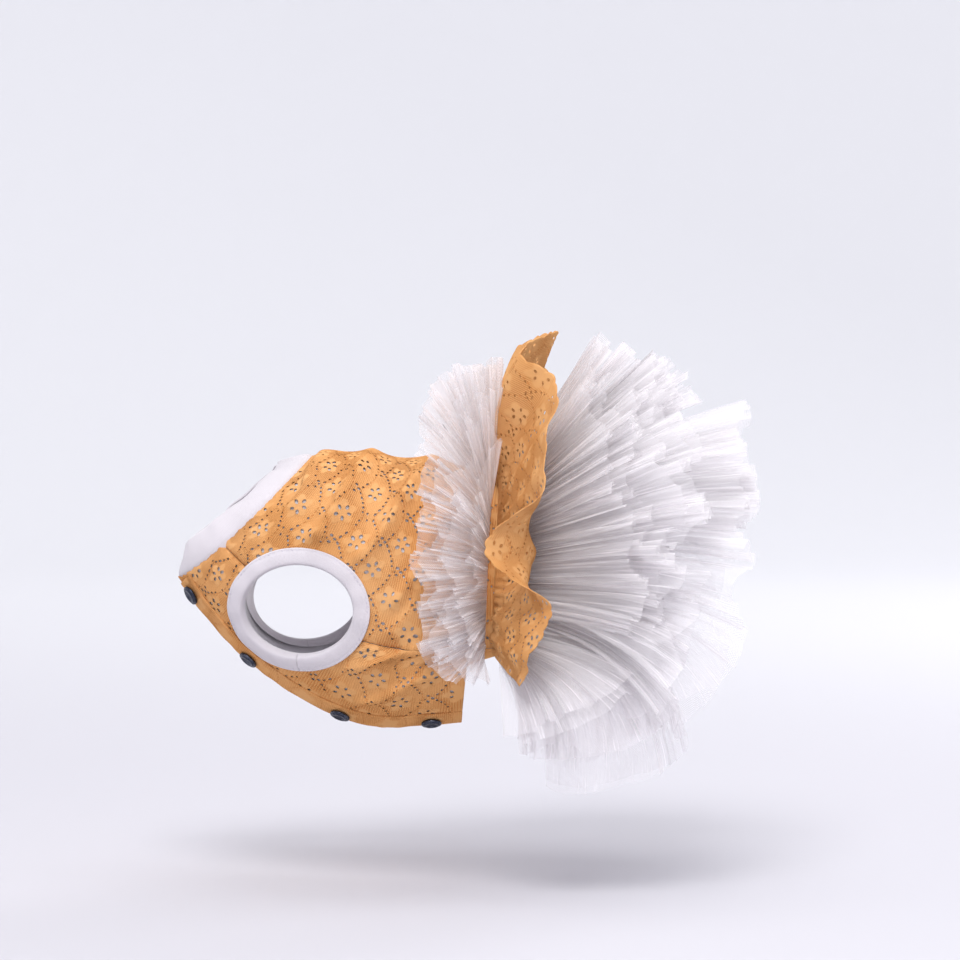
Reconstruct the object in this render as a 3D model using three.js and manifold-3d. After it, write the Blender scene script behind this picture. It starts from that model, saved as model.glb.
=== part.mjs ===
// A dress for a small dog, in the form that it has when worn: a lace bodice over a white
// lining, a white neckband, two bound leg holes, a front closure with press studs, a lace
// flounce that stands up round the waist, and four gathered layers of tulle.
//
// Millimetres. +X runs towards the tail, +Z up, and the origin is the middle of the torso.
// A turn is an angle round the torso: 0 at the back, a quarter turn at the side, half at the belly.
import * as THREE from "three";
import { mergeVertices } from "three/addons/utils/BufferGeometryUtils.js";
import Module from "manifold-3d";

const wasm = await Module();
wasm.setup();

// Driving sizes of the bodice
const TORSO_LENGTH = 166; // chest point to waist seam, along X
const CHEST_DEPTH = 136; // back to belly, where it is deepest
const CHEST_WIDTH = 104; // side to side, where it is widest
const ROUNDNESS = 2.25; // 2 is an ellipse, and more is squarer
const LINING_WALL = 1;
const LACE_WALL = 1;
const CLOTH_GAP = 0.65; // between two cloths, and between their edges
const FOLD_HEIGHT = 4;
const FOLD_FADE = 12; // folds die away over this distance from a seam
const SEAM_BAND = 24; // the band at the waist that the skirt is gathered onto
const SEAM_TURN = 110; // degrees from the back to the side seam
const BELLY_HEM_SHARE = 0.9; // how far down the torso the belly panel ends
const HEM_RUN_TURN = 9; // degrees in which the rear edge steps from the waist to the belly hem
const NECK_DIP_SHARE = 0.035; // how far the neck seam dips at the sides

// Driving sizes of what is sewn to the bodice
const COLLAR_HEIGHT = 17;
const COLLAR_WALL = 2.2;
const COLLAR_LEAN = 30; // the least that the band leans in, in degrees
const COLLAR_NAPE_LEAN = 62; // its lean at the nape
const COLLAR_THROAT_LEAN = 62; // and at the throat
const COLLAR_THROAT_POWER = 8; // how narrow that place at the throat is
const COLLAR_POWER = 1.5; // the band leans in with this power of its height
const COLLAR_GAP = 1; // from the neck seam to the band
const ARMHOLE_LENGTH = 56;
const ARMHOLE_DEPTH = 46;
const ARMHOLE_X_SHARE = -0.306; // the leg hole's middle, a share of TORSO_LENGTH
const ARMHOLE_Z_SHARE = -0.048; // and of CHEST_DEPTH
const BINDING_WIDTH = 8.6;
const BINDING_INSIDE = 5.5;
const BINDING_WALL = 1;
const CLOSURE_TURN = 156; // the closure lies a little to the left of the belly's middle
const PLACKET_WIDTH = 15;
const PLACKET_WALL = 1;
const STUD_COUNT = 4;
const STUD_DIAMETER = 10.5;
const STUD_RIM = 0.9;
const STUD_CROWN = 1.9;
const STUD_FIRST_SHARE = 0.085; // places of the first and last stud down the torso
const STUD_LAST_SHARE = 0.83;
const EYELET_LENGTH = 2.5; // outwards from the flower's middle
const EYELET_WIDTH = 1.9;
const FLOWER_DIAMETER = 7.4; // across the middles of its eyelets
const FLOWER_EYELETS = 5;

// Driving sizes of the skirt
const TULLE_WALL = 1;
const FLOUNCE_WALL = 1;
const FLOUNCE_WIDTH = 80;
const FLOUNCE_WAVE = 17;
const FLOUNCE_END_TURN = 112; // degrees from the back, on both sides
const SKIRT_END_TURN = 116;
const FLUTES = 12; // of each tulle layer, which nest
const UNEVEN_REACH = 0.04; // how much the layers' flutes vary in length
const UNEVEN_DEPTH = 0.25; // and in depth
const GATHER_SPACING = 2.4; // between the seams of two layers, along the waist
const UNEVEN_TURN = 2.4; // radians from one flute to the next in that unevenness
const FLUTE_POWER = 1.1; // a flute deepens with this power of the way to its free edge
const FLOUNCE_POWER = 1.3; // and a wave of the flounce with this one

// Sections of the torso, from the neck to the waist. backX and bellyX are shares of
// TORSO_LENGTH, backZ and bellyZ of CHEST_DEPTH, and width of CHEST_WIDTH.
const SECTIONS = [
  { at: 0.0, backX: -0.27, backZ: 0.5, bellyX: -0.68, bellyZ: 0.05, width: 0.64 },
  { at: 0.17, backX: -0.19, backZ: 0.515, bellyX: -0.6, bellyZ: -0.085, width: 0.82 },
  { at: 0.33, backX: -0.11, backZ: 0.505, bellyX: -0.47, bellyZ: -0.255, width: 0.94 },
  { at: 0.5, backX: -0.015, backZ: 0.49, bellyX: -0.275, bellyZ: -0.42, width: 1.0 },
  { at: 0.67, backX: 0.08, backZ: 0.485, bellyX: -0.085, bellyZ: -0.505, width: 0.99 },
  { at: 0.83, backX: 0.2, backZ: 0.455, bellyX: 0.095, bellyZ: -0.5, width: 0.95 },
  { at: 1.0, backX: 0.36, backZ: 0.395, bellyX: 0.335, bellyZ: -0.475, width: 0.9 },
];

// Soft folds of the lace, seen from the side: each runs between two places, given as shares
// of TORSO_LENGTH and CHEST_DEPTH. height is a share of FOLD_HEIGHT, spread of TORSO_LENGTH.
const FOLDS = [
  { fromX: -0.2, fromZ: 0.5, toX: -0.38, toZ: 0.24, height: 0.55, spread: 0.04 },
  { fromX: -0.1, fromZ: 0.52, toX: -0.27, toZ: 0.2, height: 1.0, spread: 0.042 },
  { fromX: 0.1, fromZ: 0.5, toX: -0.1, toZ: 0.14, height: 0.9, spread: 0.045 },
  { fromX: 0.22, fromZ: 0.34, toX: 0.12, toZ: 0.02, height: 0.5, spread: 0.045 },
  { fromX: 0.03, fromZ: -0.14, toX: -0.04, toZ: 0.08, height: 0.45, spread: 0.05 },
  { fromX: 0.22, fromZ: -0.1, toX: 0.0, toZ: -0.07, height: 0.5, spread: 0.036 },
  { fromX: 0.22, fromZ: -0.25, toX: -0.04, toZ: -0.2, height: 0.55, spread: 0.036 },
];

// The flounce from the back to its end, mirrored on the other side. turn is in degrees, width a
// share of FLOUNCE_WIDTH, and lean in degrees. Towards the tail, and as shares of FLOUNCE_WAVE,
// wave is how far its free edge swings, and bulge how far its middle does.
const FLOUNCE_ROWS = [
  { turn: 0, width: 1.0, wave: 0.2, bulge: 0.0, lean: 20 },
  { turn: 11, width: 0.99, wave: -0.3, bulge: -0.25, lean: 20 },
  { turn: 21, width: 0.97, wave: -0.92, bulge: -0.55, lean: 20 },
  { turn: 32, width: 0.95, wave: 0.2, bulge: -0.2, lean: 20 },
  { turn: 46, width: 0.89, wave: -0.05, bulge: 0.0, lean: 20 },
  { turn: 58, width: 0.84, wave: -0.05, bulge: 0.2, lean: 19 },
  { turn: 66, width: 0.74, wave: -1.25, bulge: 1.05, lean: 18 },
  { turn: 73, width: 0.73, wave: -1.3, bulge: 1.1, lean: 18 },
  { turn: 79, width: 0.75, wave: -0.55, bulge: 0.6, lean: 18 },
  { turn: 85, width: 0.77, wave: 0.45, bulge: 0.0, lean: 18 },
  { turn: 93, width: 0.76, wave: 0.45, bulge: -0.3, lean: 18 },
  { turn: 102, width: 0.72, wave: 0.05, bulge: -0.3, lean: 18 },
  { turn: 112, width: 0.62, wave: 0.07, bulge: 0.0, lean: 16 },
];

// How each gathered layer lies, from the back to its end, mirrored on the other side. turn is
// in degrees and reach a share of the layer's length. stand is the angle in degrees from the
// tail's direction out towards the body's normal, and limp says how far the tip bends down.
const LAYERS = {
  tulle_front: {
    seam: -2,
    length: 60,
    wave: 5.5,
    rows: [
      { turn: 0, reach: 1.0, stand: 106, limp: 0.0 },
      { turn: 40, reach: 0.9, stand: 116, limp: 0.0 },
      { turn: 80, reach: 0.66, stand: 137, limp: 0.05 },
      { turn: 104, reach: 0.56, stand: 140, limp: 0.15 },
      { turn: 116, reach: 0.45, stand: 130, limp: 0.3 },
    ],
  },
  tulle_standing: {
    seam: 1,
    length: 90,
    wave: 6.5,
    rows: [
      { turn: 0, reach: 1.0, stand: 54, limp: 0.0 },
      { turn: 40, reach: 0.97, stand: 54, limp: 0.0 },
      { turn: 80, reach: 1.0, stand: 37, limp: 0.05 },
      { turn: 104, reach: 0.95, stand: 37, limp: 0.3 },
      { turn: 116, reach: 0.66, stand: 84, limp: 0.6 },
    ],
  },
  tulle_middle: {
    seam: 2,
    length: 106,
    wave: 7.5,
    rows: [
      { turn: 0, reach: 1.0, stand: 31, limp: 0.0 },
      { turn: 40, reach: 0.97, stand: 33, limp: 0.0 },
      { turn: 80, reach: 1.02, stand: 25, limp: 0.15 },
      { turn: 92, reach: 0.98, stand: 27, limp: 0.5 },
      { turn: 104, reach: 0.85, stand: 29, limp: 0.8 },
      { turn: 116, reach: 0.58, stand: 73, limp: 1.1 },
    ],
  },
  tulle_long: {
    seam: 3,
    length: 126,
    wave: 8,
    rows: [
      { turn: 0, reach: 0.97, stand: 11, limp: 0.1 },
      { turn: 40, reach: 1.0, stand: 11, limp: 0.1 },
      { turn: 70, reach: 0.98, stand: 10, limp: 0.25 },
      { turn: 90, reach: 0.93, stand: 13, limp: 0.75 },
      { turn: 104, reach: 0.92, stand: 13, limp: 0.95 },
      { turn: 116, reach: 0.6, stand: 46, limp: 1.6 },
    ],
  },
};

// The seam nearest to the waist's edge, from which the other seams are counted.
const LAST_SEAM = Math.max(...Object.values(LAYERS).map((layer) => layer.seam));

// Rows of eyelet flowers on the lace: where each row lies down the torso, the turn in degrees
// of its first flower, and the turn from one flower to the next.
const FLOWER_ROWS = [
  { at: 0.3, first: -60, step: 60 },
  { at: 0.62, first: -78, step: 52 },
];
const BELLY_FLOWER_ROWS = [{ at: 0.62, first: 138, step: 84 }];

// How finely the surfaces are divided
const BACK_COLUMNS = 36;
const BACK_ROWS = 12;
const BELLY_COLUMNS = 14;
const BELLY_ROWS = 11;
const LINING_COLUMNS = 28;
const LINING_ROWS = 8;
const COLLAR_STATIONS = 28;
const RING_STATIONS = 24;
const STUD_SEGMENTS = 12;
const FLOUNCE_COLUMNS = 46;
const FLOUNCE_STEPS = 4;
const LAYER_STEPS = 3;
const SAMPLES_PER_FLUTE = 4;

// From the middle of the lining to the middle and the outside of the lace.
const LACE_OFFSET = LINING_WALL / 2 + CLOTH_GAP + LACE_WALL / 2;
const LACE_OUTSIDE = LACE_OFFSET + LACE_WALL / 2;
const HALF_TURN = 180;
const DOWN = new THREE.Vector3(0, 0, -1);
const TAIL = new THREE.Vector3(1, 0, 0);
const radians = THREE.MathUtils.degToRad;

const lace = new THREE.MeshStandardMaterial({ color: "#d98e45", roughness: 0.85 });
const knit = new THREE.MeshStandardMaterial({ color: "#efeaf0", roughness: 0.8 });
const tulle = new THREE.MeshStandardMaterial({ color: "#f1ecf3", roughness: 0.6 });
const gunmetal = new THREE.MeshStandardMaterial({ color: "#3a3d4a", roughness: 0.35, metalness: 0.9 });

// Reads a column of a table at any place, on a smooth curve through its rows.
function readColumn(rows, key, place, column) {
  const last = rows.length - 1;
  let i = 0;
  while (i < last - 1 && place > rows[i + 1][key]) i++;
  const [a, b] = [rows[i], rows[i + 1]];
  const [before, after] = [rows[Math.max(i - 1, 0)], rows[Math.min(i + 2, last)]];
  const span = b[key] - a[key];
  const t = (place - a[key]) / span;
  const slopeA = (span * (b[column] - before[column])) / (b[key] - before[key]);
  const slopeB = (span * (after[column] - a[column])) / (after[key] - a[key]);
  const rise = b[column] - a[column];
  const bend = 3 * rise - 2 * slopeA - slopeB;
  return a[column] + t * (slopeA + t * (bend + t * (slopeA + slopeB - 2 * rise)));
}

// A point of the lining's middle surface, before folds. at runs from 0 at the neck to 1 at the waist.
function torsoBase(at, turn) {
  const read = (column) => readColumn(SECTIONS, "at", at, column);
  const back = new THREE.Vector3(read("backX") * TORSO_LENGTH, 0, read("backZ") * CHEST_DEPTH);
  const belly = new THREE.Vector3(read("bellyX") * TORSO_LENGTH, 0, read("bellyZ") * CHEST_DEPTH);
  const middle = back.clone().add(belly).multiplyScalar(0.5);
  const [c, s] = [Math.cos(radians(turn)), Math.sin(radians(turn))];
  const round = (Math.abs(c) ** ROUNDNESS + Math.abs(s) ** ROUNDNESS) ** (-1 / ROUNDNESS);
  const halfWidth = (read("width") * CHEST_WIDTH) / 2;
  return middle
    .addScaledVector(back.sub(belly), 0.5 * c * round)
    .add(new THREE.Vector3(0, -halfWidth * s * round, 0));
}

// The directions at a place of the torso: out of the cloth, round the body, and towards the tail.
function torsoFrame(at, turn) {
  const [smallTurn, smallStep] = [0.5, 0.004];
  const round = torsoBase(at, turn + smallTurn).sub(torsoBase(at, turn - smallTurn)).normalize();
  const along = torsoBase(at + smallStep, turn).sub(torsoBase(at - smallStep, turn)).normalize();
  const out = new THREE.Vector3().crossVectors(round, along).normalize();
  return { out, round, along: new THREE.Vector3().crossVectors(out, round) };
}

// A point at a distance out from the lining's middle, where the cloth has no folds.
function torsoPoint(at, turn, offset) {
  return torsoBase(at, turn).addScaledVector(torsoFrame(at, turn).out, offset);
}

// How far the soft folds lift the lace at a place. They die away towards each seam.
function foldHeight(at, turn) {
  const point = torsoBase(at, turn);
  const [x, z] = [point.x / TORSO_LENGTH, point.z / CHEST_DEPTH];
  const ratio = CHEST_DEPTH / TORSO_LENGTH;
  let height = 0;
  for (const fold of FOLDS) {
    const [runX, runZ] = [fold.toX - fold.fromX, (fold.toZ - fold.fromZ) * ratio];
    const [dx, dz] = [x - fold.fromX, (z - fold.fromZ) * ratio];
    const length = Math.hypot(runX, runZ);
    const share = (dx * runX + dz * runZ) / length ** 2;
    const beside = (dx * runZ - dz * runX) / length / fold.spread;
    const past = Math.max((Math.abs(share - 0.5) - 0.5) * length, 0) / fold.spread;
    height = Math.max(height, fold.height * Math.exp(-(beside ** 2) - past ** 2));
  }
  const dx = (point.x - ARMHOLE_X_SHARE * TORSO_LENGTH) / (ARMHOLE_LENGTH / 2 + BINDING_WIDTH);
  const dz = (point.z - ARMHOLE_Z_SHARE * CHEST_DEPTH) / (ARMHOLE_DEPTH / 2 + BINDING_WIDTH);
  const fromHole = (Math.hypot(dx, dz) - 1) * (ARMHOLE_DEPTH / 2 + BINDING_WIDTH);
  const fromNeck = (at - neckEdge(turn)) * TORSO_LENGTH;
  const fromWaist = (1 - at) * TORSO_LENGTH - SEAM_BAND;
  const besideClosure = Math.abs(point.y - torsoBase(at, CLOSURE_TURN).y) - PLACKET_WIDTH / 2;
  const fromPlacket = Math.max(besideClosure, turn < SEAM_TURN ? FOLD_FADE : 0);
  const nearest = Math.min(fromHole, fromNeck, fromWaist, fromPlacket);
  return height * FOLD_HEIGHT * THREE.MathUtils.smoothstep(nearest, LACE_WALL, FOLD_FADE);
}

// A point of the lace, with its folds.
function lacePoint(at, turn, offset) {
  return torsoPoint(at, turn, offset + foldHeight(at, turn));
}

// Finds the place of the near side of the torso that a side view shows at x and z.
function torsoPlace(x, z) {
  let [at, turn] = [0.4, 95];
  const [stepAt, stepTurn] = [0.002, 0.3];
  const [mostAt, mostTurn] = [0.1, 15];
  const tries = 20;
  for (let i = 0; i < tries; i++) {
    const p = torsoBase(at, turn);
    const a = torsoBase(at + stepAt, turn).sub(p).divideScalar(stepAt);
    const t = torsoBase(at, turn + stepTurn).sub(p).divideScalar(stepTurn);
    const det = a.x * t.z - a.z * t.x;
    at += THREE.MathUtils.clamp(((x - p.x) * t.z - (z - p.z) * t.x) / det, -mostAt, mostAt);
    turn += THREE.MathUtils.clamp((a.x * (z - p.z) - a.z * (x - p.x)) / det, -mostTurn, mostTurn);
  }
  return [at, turn];
}

// Steps from a place by a vector along the surface, and gives the new place.
function torsoStep([at, turn], step) {
  const [smallStep, smallTurn] = [0.004, 0.5];
  const a = torsoBase(at + smallStep, turn).sub(torsoBase(at, turn)).divideScalar(smallStep);
  const t = torsoBase(at, turn + smallTurn).sub(torsoBase(at, turn)).divideScalar(smallTurn);
  const [aa, tt, mix, sa, st] = [a.dot(a), t.dot(t), a.dot(t), step.dot(a), step.dot(t)];
  const det = aa * tt - mix ** 2;
  return [at + (sa * tt - st * mix) / det, turn + (st * aa - sa * mix) / det];
}

// The neck seam and the rear edge of the cloth at a turn.
function neckEdge(turn) {
  return NECK_DIP_SHARE * Math.sin(radians(turn)) ** 2;
}
function rearEdge(turn) {
  const fromBack = Math.abs(turn > HALF_TURN ? 2 * HALF_TURN - turn : turn);
  const share = THREE.MathUtils.smoothstep(fromBack, SEAM_TURN, SEAM_TURN + HEM_RUN_TURN);
  return 1 - (1 - BELLY_HEM_SHARE) * share;
}

// A named mesh of a closed surface, with its faces turned out.
function pieceOf(name, geometry, material) {
  const piece = new THREE.Mesh(geometry, material);
  piece.name = name;
  return piece;
}

function facesOut(positions, faces) {
  let volume = 0;
  const corner = (i) => new THREE.Vector3().fromArray(positions, 3 * i);
  for (let i = 0; i < faces.length; i += 3) {
    volume += corner(faces[i]).cross(corner(faces[i + 1])).dot(corner(faces[i + 2]));
  }
  const turned = volume < 0 ? faces.map((v, i) => faces[i - (i % 3) + ((3 - (i % 3)) % 3)]) : faces;
  return new THREE.BufferGeometry()
    .setAttribute("position", new THREE.Float32BufferAttribute(positions, 3))
    .setIndex(turned);
}

// A sheet with a wall: place(i, j, side) gives its points, with side 0 inside and 1 outside.
function sheet(columns, rows, place) {
  const positions = [];
  const faces = [];
  const index = (i, j, side) => 2 * (i * (rows + 1) + j) + side;
  for (let i = 0; i <= columns; i++) {
    for (let j = 0; j <= rows; j++) {
      for (const side of [0, 1]) positions.push(...place(i, j, side).toArray());
    }
  }
  const quad = (a, b, c, d) => faces.push(a, b, c, a, c, d);
  for (let i = 0; i < columns; i++) {
    for (let j = 0; j < rows; j++) {
      quad(index(i, j, 1), index(i + 1, j, 1), index(i + 1, j + 1, 1), index(i, j + 1, 1));
      quad(index(i, j, 0), index(i, j + 1, 0), index(i + 1, j + 1, 0), index(i + 1, j, 0));
    }
    quad(index(i, 0, 0), index(i + 1, 0, 0), index(i + 1, 0, 1), index(i, 0, 1));
    quad(index(i, rows, 1), index(i + 1, rows, 1), index(i + 1, rows, 0), index(i, rows, 0));
  }
  for (let j = 0; j < rows; j++) {
    quad(index(0, j, 1), index(0, j + 1, 1), index(0, j + 1, 0), index(0, j, 0));
    quad(index(columns, j, 0), index(columns, j + 1, 0), index(columns, j + 1, 1), index(columns, j, 1));
  }
  return facesOut(positions, faces);
}

// A closed ring: place(i, k) gives corner k of the section at station i.
function ring(stations, corners, place) {
  const positions = [];
  const faces = [];
  for (let i = 0; i < stations; i++) {
    for (let k = 0; k < corners; k++) positions.push(...place(i, k).toArray());
  }
  for (let i = 0; i < stations; i++) {
    for (let k = 0; k < corners; k++) {
      const [a, b] = [i * corners + k, i * corners + ((k + 1) % corners)];
      const next = ((i + 1) % stations) * corners;
      const [c, d] = [next + ((k + 1) % corners), next + k];
      faces.push(a, d, c, a, c, b);
    }
  }
  return facesOut(positions, faces);
}

function solidOf(geometry) {
  const plain = geometry.clone();
  plain.deleteAttribute("normal");
  plain.deleteAttribute("uv");
  const merged = mergeVertices(plain, 1e-4);
  return new wasm.Manifold(
    new wasm.Mesh({
      numProp: 3,
      vertProperties: new Float32Array(merged.attributes.position.array),
      triVerts: new Uint32Array(merged.index.array),
    }),
  );
}

function geometryOf(solid) {
  const mesh = solid.getMesh();
  return new THREE.BufferGeometry()
    .setAttribute("position", new THREE.BufferAttribute(mesh.vertProperties, 3))
    .setIndex(new THREE.BufferAttribute(mesh.triVerts, 1));
}

// A place of the leg hole's rim, grown outwards along the cloth. Seen from the side it is an ellipse.
function armholePlace(station, stations, grow) {
  const rim = (share) => {
    const angle = 2 * Math.PI * share;
    const x = ARMHOLE_X_SHARE * TORSO_LENGTH + (ARMHOLE_LENGTH / 2) * Math.cos(angle);
    const z = ARMHOLE_Z_SHARE * CHEST_DEPTH + (ARMHOLE_DEPTH / 2) * Math.sin(angle);
    return torsoPlace(x, z);
  };
  const small = 0.01;
  const ahead = torsoBase(...rim(station / stations + small));
  const tangent = ahead.sub(torsoBase(...rim(station / stations - small))).normalize();
  let place = rim(station / stations);
  const longestStep = 3;
  const steps = Math.max(1, Math.ceil(grow / longestStep));
  for (let n = 0; n < steps; n++) {
    const outwards = new THREE.Vector3().crossVectors(tangent, torsoFrame(...place).out);
    place = torsoStep(place, outwards.multiplyScalar(grow / steps));
  }
  return place;
}

const mirrored = (point, side) => new THREE.Vector3(point.x, point.y * side, point.z);

// A plug that cuts a leg hole through the cloth, square to it all round.
function armholePlug(side) {
  const reach = LACE_OUTSIDE + 3 * FOLD_HEIGHT; // well past both cloths
  const cut = BINDING_WALL + CLOTH_GAP;
  const rings = [0.45, 1]; // shares of the way from the hole's middle to its rim
  const positions = [];
  const faces = [];
  const middle = torsoPlace(ARMHOLE_X_SHARE * TORSO_LENGTH, ARMHOLE_Z_SHARE * CHEST_DEPTH);
  const add = (place, offset) => {
    const base = torsoBase(...place);
    base.addScaledVector(torsoFrame(...place).out, offset);
    positions.push(...mirrored(base, side).toArray());
  };
  for (const offset of [-reach, reach]) {
    add(middle, offset);
    for (const share of rings) {
      for (let i = 0; i < RING_STATIONS; i++) {
        const rim = armholePlace(i, RING_STATIONS, cut);
        add([middle[0] + (rim[0] - middle[0]) * share, middle[1] + (rim[1] - middle[1]) * share], offset);
      }
    }
  }
  const layer = 1 + rings.length * RING_STATIONS;
  for (let i = 0; i < RING_STATIONS; i++) {
    const n = (i + 1) % RING_STATIONS;
    const [inner, innerNext] = [1 + i, 1 + n];
    const [outer, outerNext] = [inner + RING_STATIONS, innerNext + RING_STATIONS];
    faces.push(0, inner, innerNext, inner, outer, outerNext, inner, outerNext, innerNext);
    faces.push(layer, layer + innerNext, layer + inner);
    faces.push(layer + inner, layer + outerNext, layer + outer);
    faces.push(layer + inner, layer + innerNext, layer + outerNext);
    faces.push(outer, layer + outer, layer + outerNext, outer, layer + outerNext, outerNext);
  }
  return solidOf(facesOut(positions, faces));
}

// One eyelet: a small prism through the lace, longer across the flower than round it.
function eyeletPlug(middle, outwards, across, out) {
  const corners = 4;
  const positions = [];
  const faces = [];
  for (const depth of [-LACE_WALL, LACE_WALL]) {
    for (let k = 0; k < corners; k++) {
      const angle = (2 * Math.PI * k) / corners;
      const corner = middle
        .clone()
        .addScaledVector(outwards, (EYELET_LENGTH / 2) * Math.cos(angle))
        .addScaledVector(across, (EYELET_WIDTH / 2) * Math.sin(angle))
        .addScaledVector(out, depth);
      positions.push(...corner.toArray());
    }
  }
  for (let k = 0; k < corners; k++) {
    const n = (k + 1) % corners;
    faces.push(k, n, corners + n, k, corners + n, corners + k);
    if (k > 0 && k < corners - 1) faces.push(0, n, k, corners, corners + k, corners + n);
  }
  return solidOf(facesOut(positions, faces));
}

// The flowers of eyelets of some rows, apart from those on or near a leg hole.
function eyeletPlugs(rows, lastTurn) {
  const plugs = [];
  const keepOff = BINDING_WIDTH + FLOWER_DIAMETER;
  for (const row of rows) {
    for (let turn = row.first; turn <= lastTurn; turn += row.step) {
      const middle = lacePoint(row.at, turn, LACE_OFFSET);
      const dx = (middle.x - ARMHOLE_X_SHARE * TORSO_LENGTH) / (ARMHOLE_LENGTH / 2 + keepOff);
      const dz = (middle.z - ARMHOLE_Z_SHARE * CHEST_DEPTH) / (ARMHOLE_DEPTH / 2 + keepOff);
      if (Math.hypot(dx, dz) < 1) continue;
      const { out, round, along } = torsoFrame(row.at, turn);
      for (let k = 0; k < FLOWER_EYELETS; k++) {
        const angle = (2 * Math.PI * k) / FLOWER_EYELETS;
        const outwards = along.clone().multiplyScalar(Math.cos(angle));
        outwards.addScaledVector(round, Math.sin(angle));
        const across = new THREE.Vector3().crossVectors(out, outwards);
        const place = middle.clone().addScaledVector(outwards, FLOWER_DIAMETER / 2);
        plugs.push(eyeletPlug(place, outwards, across, out));
      }
    }
  }
  return plugs;
}

// A panel of the bodice's lace between two turns, with its leg holes and eyelets cut.
function lacePanel(name, from, to, columns, rows, flowers) {
  const geometry = sheet(columns, rows, (i, j, side) => {
    const turn = from + ((to - from) * i) / columns;
    const [start, end] = [neckEdge(turn), rearEdge(turn)];
    const at = start + ((end - start) * j) / rows;
    return lacePoint(at, turn, LACE_OFFSET + (side - 0.5) * LACE_WALL);
  });
  const cutters = [armholePlug(1), armholePlug(-1), ...flowers];
  return pieceOf(name, geometryOf(solidOf(geometry).subtract(wasm.Manifold.union(cutters))), lace);
}

// The gap of the side seam, in degrees of turn.
const SEAM_GAP = THREE.MathUtils.radToDeg(CLOTH_GAP / (CHEST_WIDTH / 2));

function makeBackLace() {
  const edge = SEAM_TURN - SEAM_GAP / 2;
  const flowers = eyeletPlugs(FLOWER_ROWS, edge);
  return lacePanel("back_lace", -edge, edge, BACK_COLUMNS, BACK_ROWS, flowers);
}

function makeBellyLace() {
  const from = SEAM_TURN + SEAM_GAP / 2;
  const to = 2 * HALF_TURN - from;
  const flowers = eyeletPlugs(BELLY_FLOWER_ROWS, to);
  return lacePanel("belly_lace", from, to, BELLY_COLUMNS, BELLY_ROWS, flowers);
}

// The lining is a whole tube, so its section ring closes round the body.
function makeLining() {
  const corners = 2 * (LINING_ROWS + 1);
  const geometry = ring(LINING_COLUMNS, corners, (i, k) => {
    const turn = (2 * HALF_TURN * i) / LINING_COLUMNS;
    const outside = k <= LINING_ROWS;
    const j = outside ? k : corners - 1 - k;
    const [start, end] = [neckEdge(turn), rearEdge(turn)];
    const at = start + ((end - start) * j) / LINING_ROWS;
    return torsoPoint(at, turn, (outside ? 0.5 : -0.5) * LINING_WALL);
  });
  const cut = solidOf(geometry).subtract(wasm.Manifold.union([armholePlug(1), armholePlug(-1)]));
  return pieceOf("lining", geometryOf(cut), knit);
}

// The neckband carries on from the neck seam towards the head.
function makeCollar() {
  const neck = readColumn(SECTIONS, "at", 0, "backX") - readColumn(SECTIONS, "at", 0, "bellyX");
  const rise = readColumn(SECTIONS, "at", 0, "backZ") - readColumn(SECTIONS, "at", 0, "bellyZ");
  const towardsHead = new THREE.Vector3(-rise * CHEST_DEPTH, 0, neck * TORSO_LENGTH).normalize();
  const middle = (LACE_OUTSIDE - LINING_WALL / 2) / 2;
  // Corners of the band's section: share of its height, and share of its wall from its middle.
  const corners = [
    { height: 0, wall: 0.5 },
    { height: 0.5, wall: 0.56 },
    { height: 0.94, wall: 0.5 },
    { height: 1, wall: 0.15 },
    { height: 1, wall: -0.15 },
    { height: 0.94, wall: -0.5 },
    { height: 0.5, wall: -0.44 },
    { height: 0, wall: -0.5 },
  ];
  const stations = COLLAR_STATIONS;
  const geometry = ring(stations, corners.length, (i, k) => {
    const turn = (2 * HALF_TURN * i) / stations;
    const { height, wall } = corners[k];
    const nape = (1 + Math.cos(radians(turn))) / 2;
    const throat = (1 - nape) ** COLLAR_THROAT_POWER;
    const extra = (COLLAR_NAPE_LEAN - COLLAR_LEAN) * nape + (COLLAR_THROAT_LEAN - COLLAR_LEAN) * throat;
    const lean = radians(COLLAR_LEAN + extra);
    const { out } = torsoFrame(neckEdge(turn), turn);
    const square = out.clone().addScaledVector(towardsHead, -out.dot(towardsHead)).normalize();
    const inwards = Math.sin(lean) * height ** COLLAR_POWER;
    const slope = COLLAR_POWER * Math.sin(lean) * height ** (COLLAR_POWER - 1);
    const across = square.clone().multiplyScalar(Math.cos(lean)).addScaledVector(towardsHead, slope);
    return torsoPoint(neckEdge(turn), turn, middle)
      .addScaledVector(towardsHead, COLLAR_GAP + COLLAR_HEIGHT * Math.cos(lean) * height)
      .addScaledVector(square, -COLLAR_HEIGHT * inwards)
      .addScaledVector(out.lerp(across.normalize(), height).normalize(), wall * COLLAR_WALL);
  });
  return pieceOf("collar", geometry, knit);
}

// The binding folds over the leg hole's edge, from outside the lace to inside the lining.
function makeBinding(name, side) {
  const [inside, outside] = [-LINING_WALL / 2 - 2 * CLOTH_GAP, LACE_OUTSIDE + CLOTH_GAP];
  // Corners of the folded strip: how far it lies from the hole's rim, and out from the lining's middle.
  const corners = [
    { grow: 0, offset: inside - BINDING_WALL },
    { grow: BINDING_INSIDE, offset: inside - BINDING_WALL },
    { grow: BINDING_INSIDE, offset: inside },
    { grow: BINDING_WALL, offset: inside },
    { grow: BINDING_WALL, offset: outside },
    { grow: BINDING_WIDTH, offset: outside },
    { grow: BINDING_WIDTH, offset: outside + BINDING_WALL },
    { grow: 0, offset: outside + BINDING_WALL },
  ];
  const geometry = ring(RING_STATIONS, corners.length, (i, k) => {
    const place = armholePlace(i, RING_STATIONS, corners[k].grow);
    return mirrored(torsoPoint(...place, corners[k].offset), side);
  });
  return pieceOf(name, geometry, knit);
}

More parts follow.
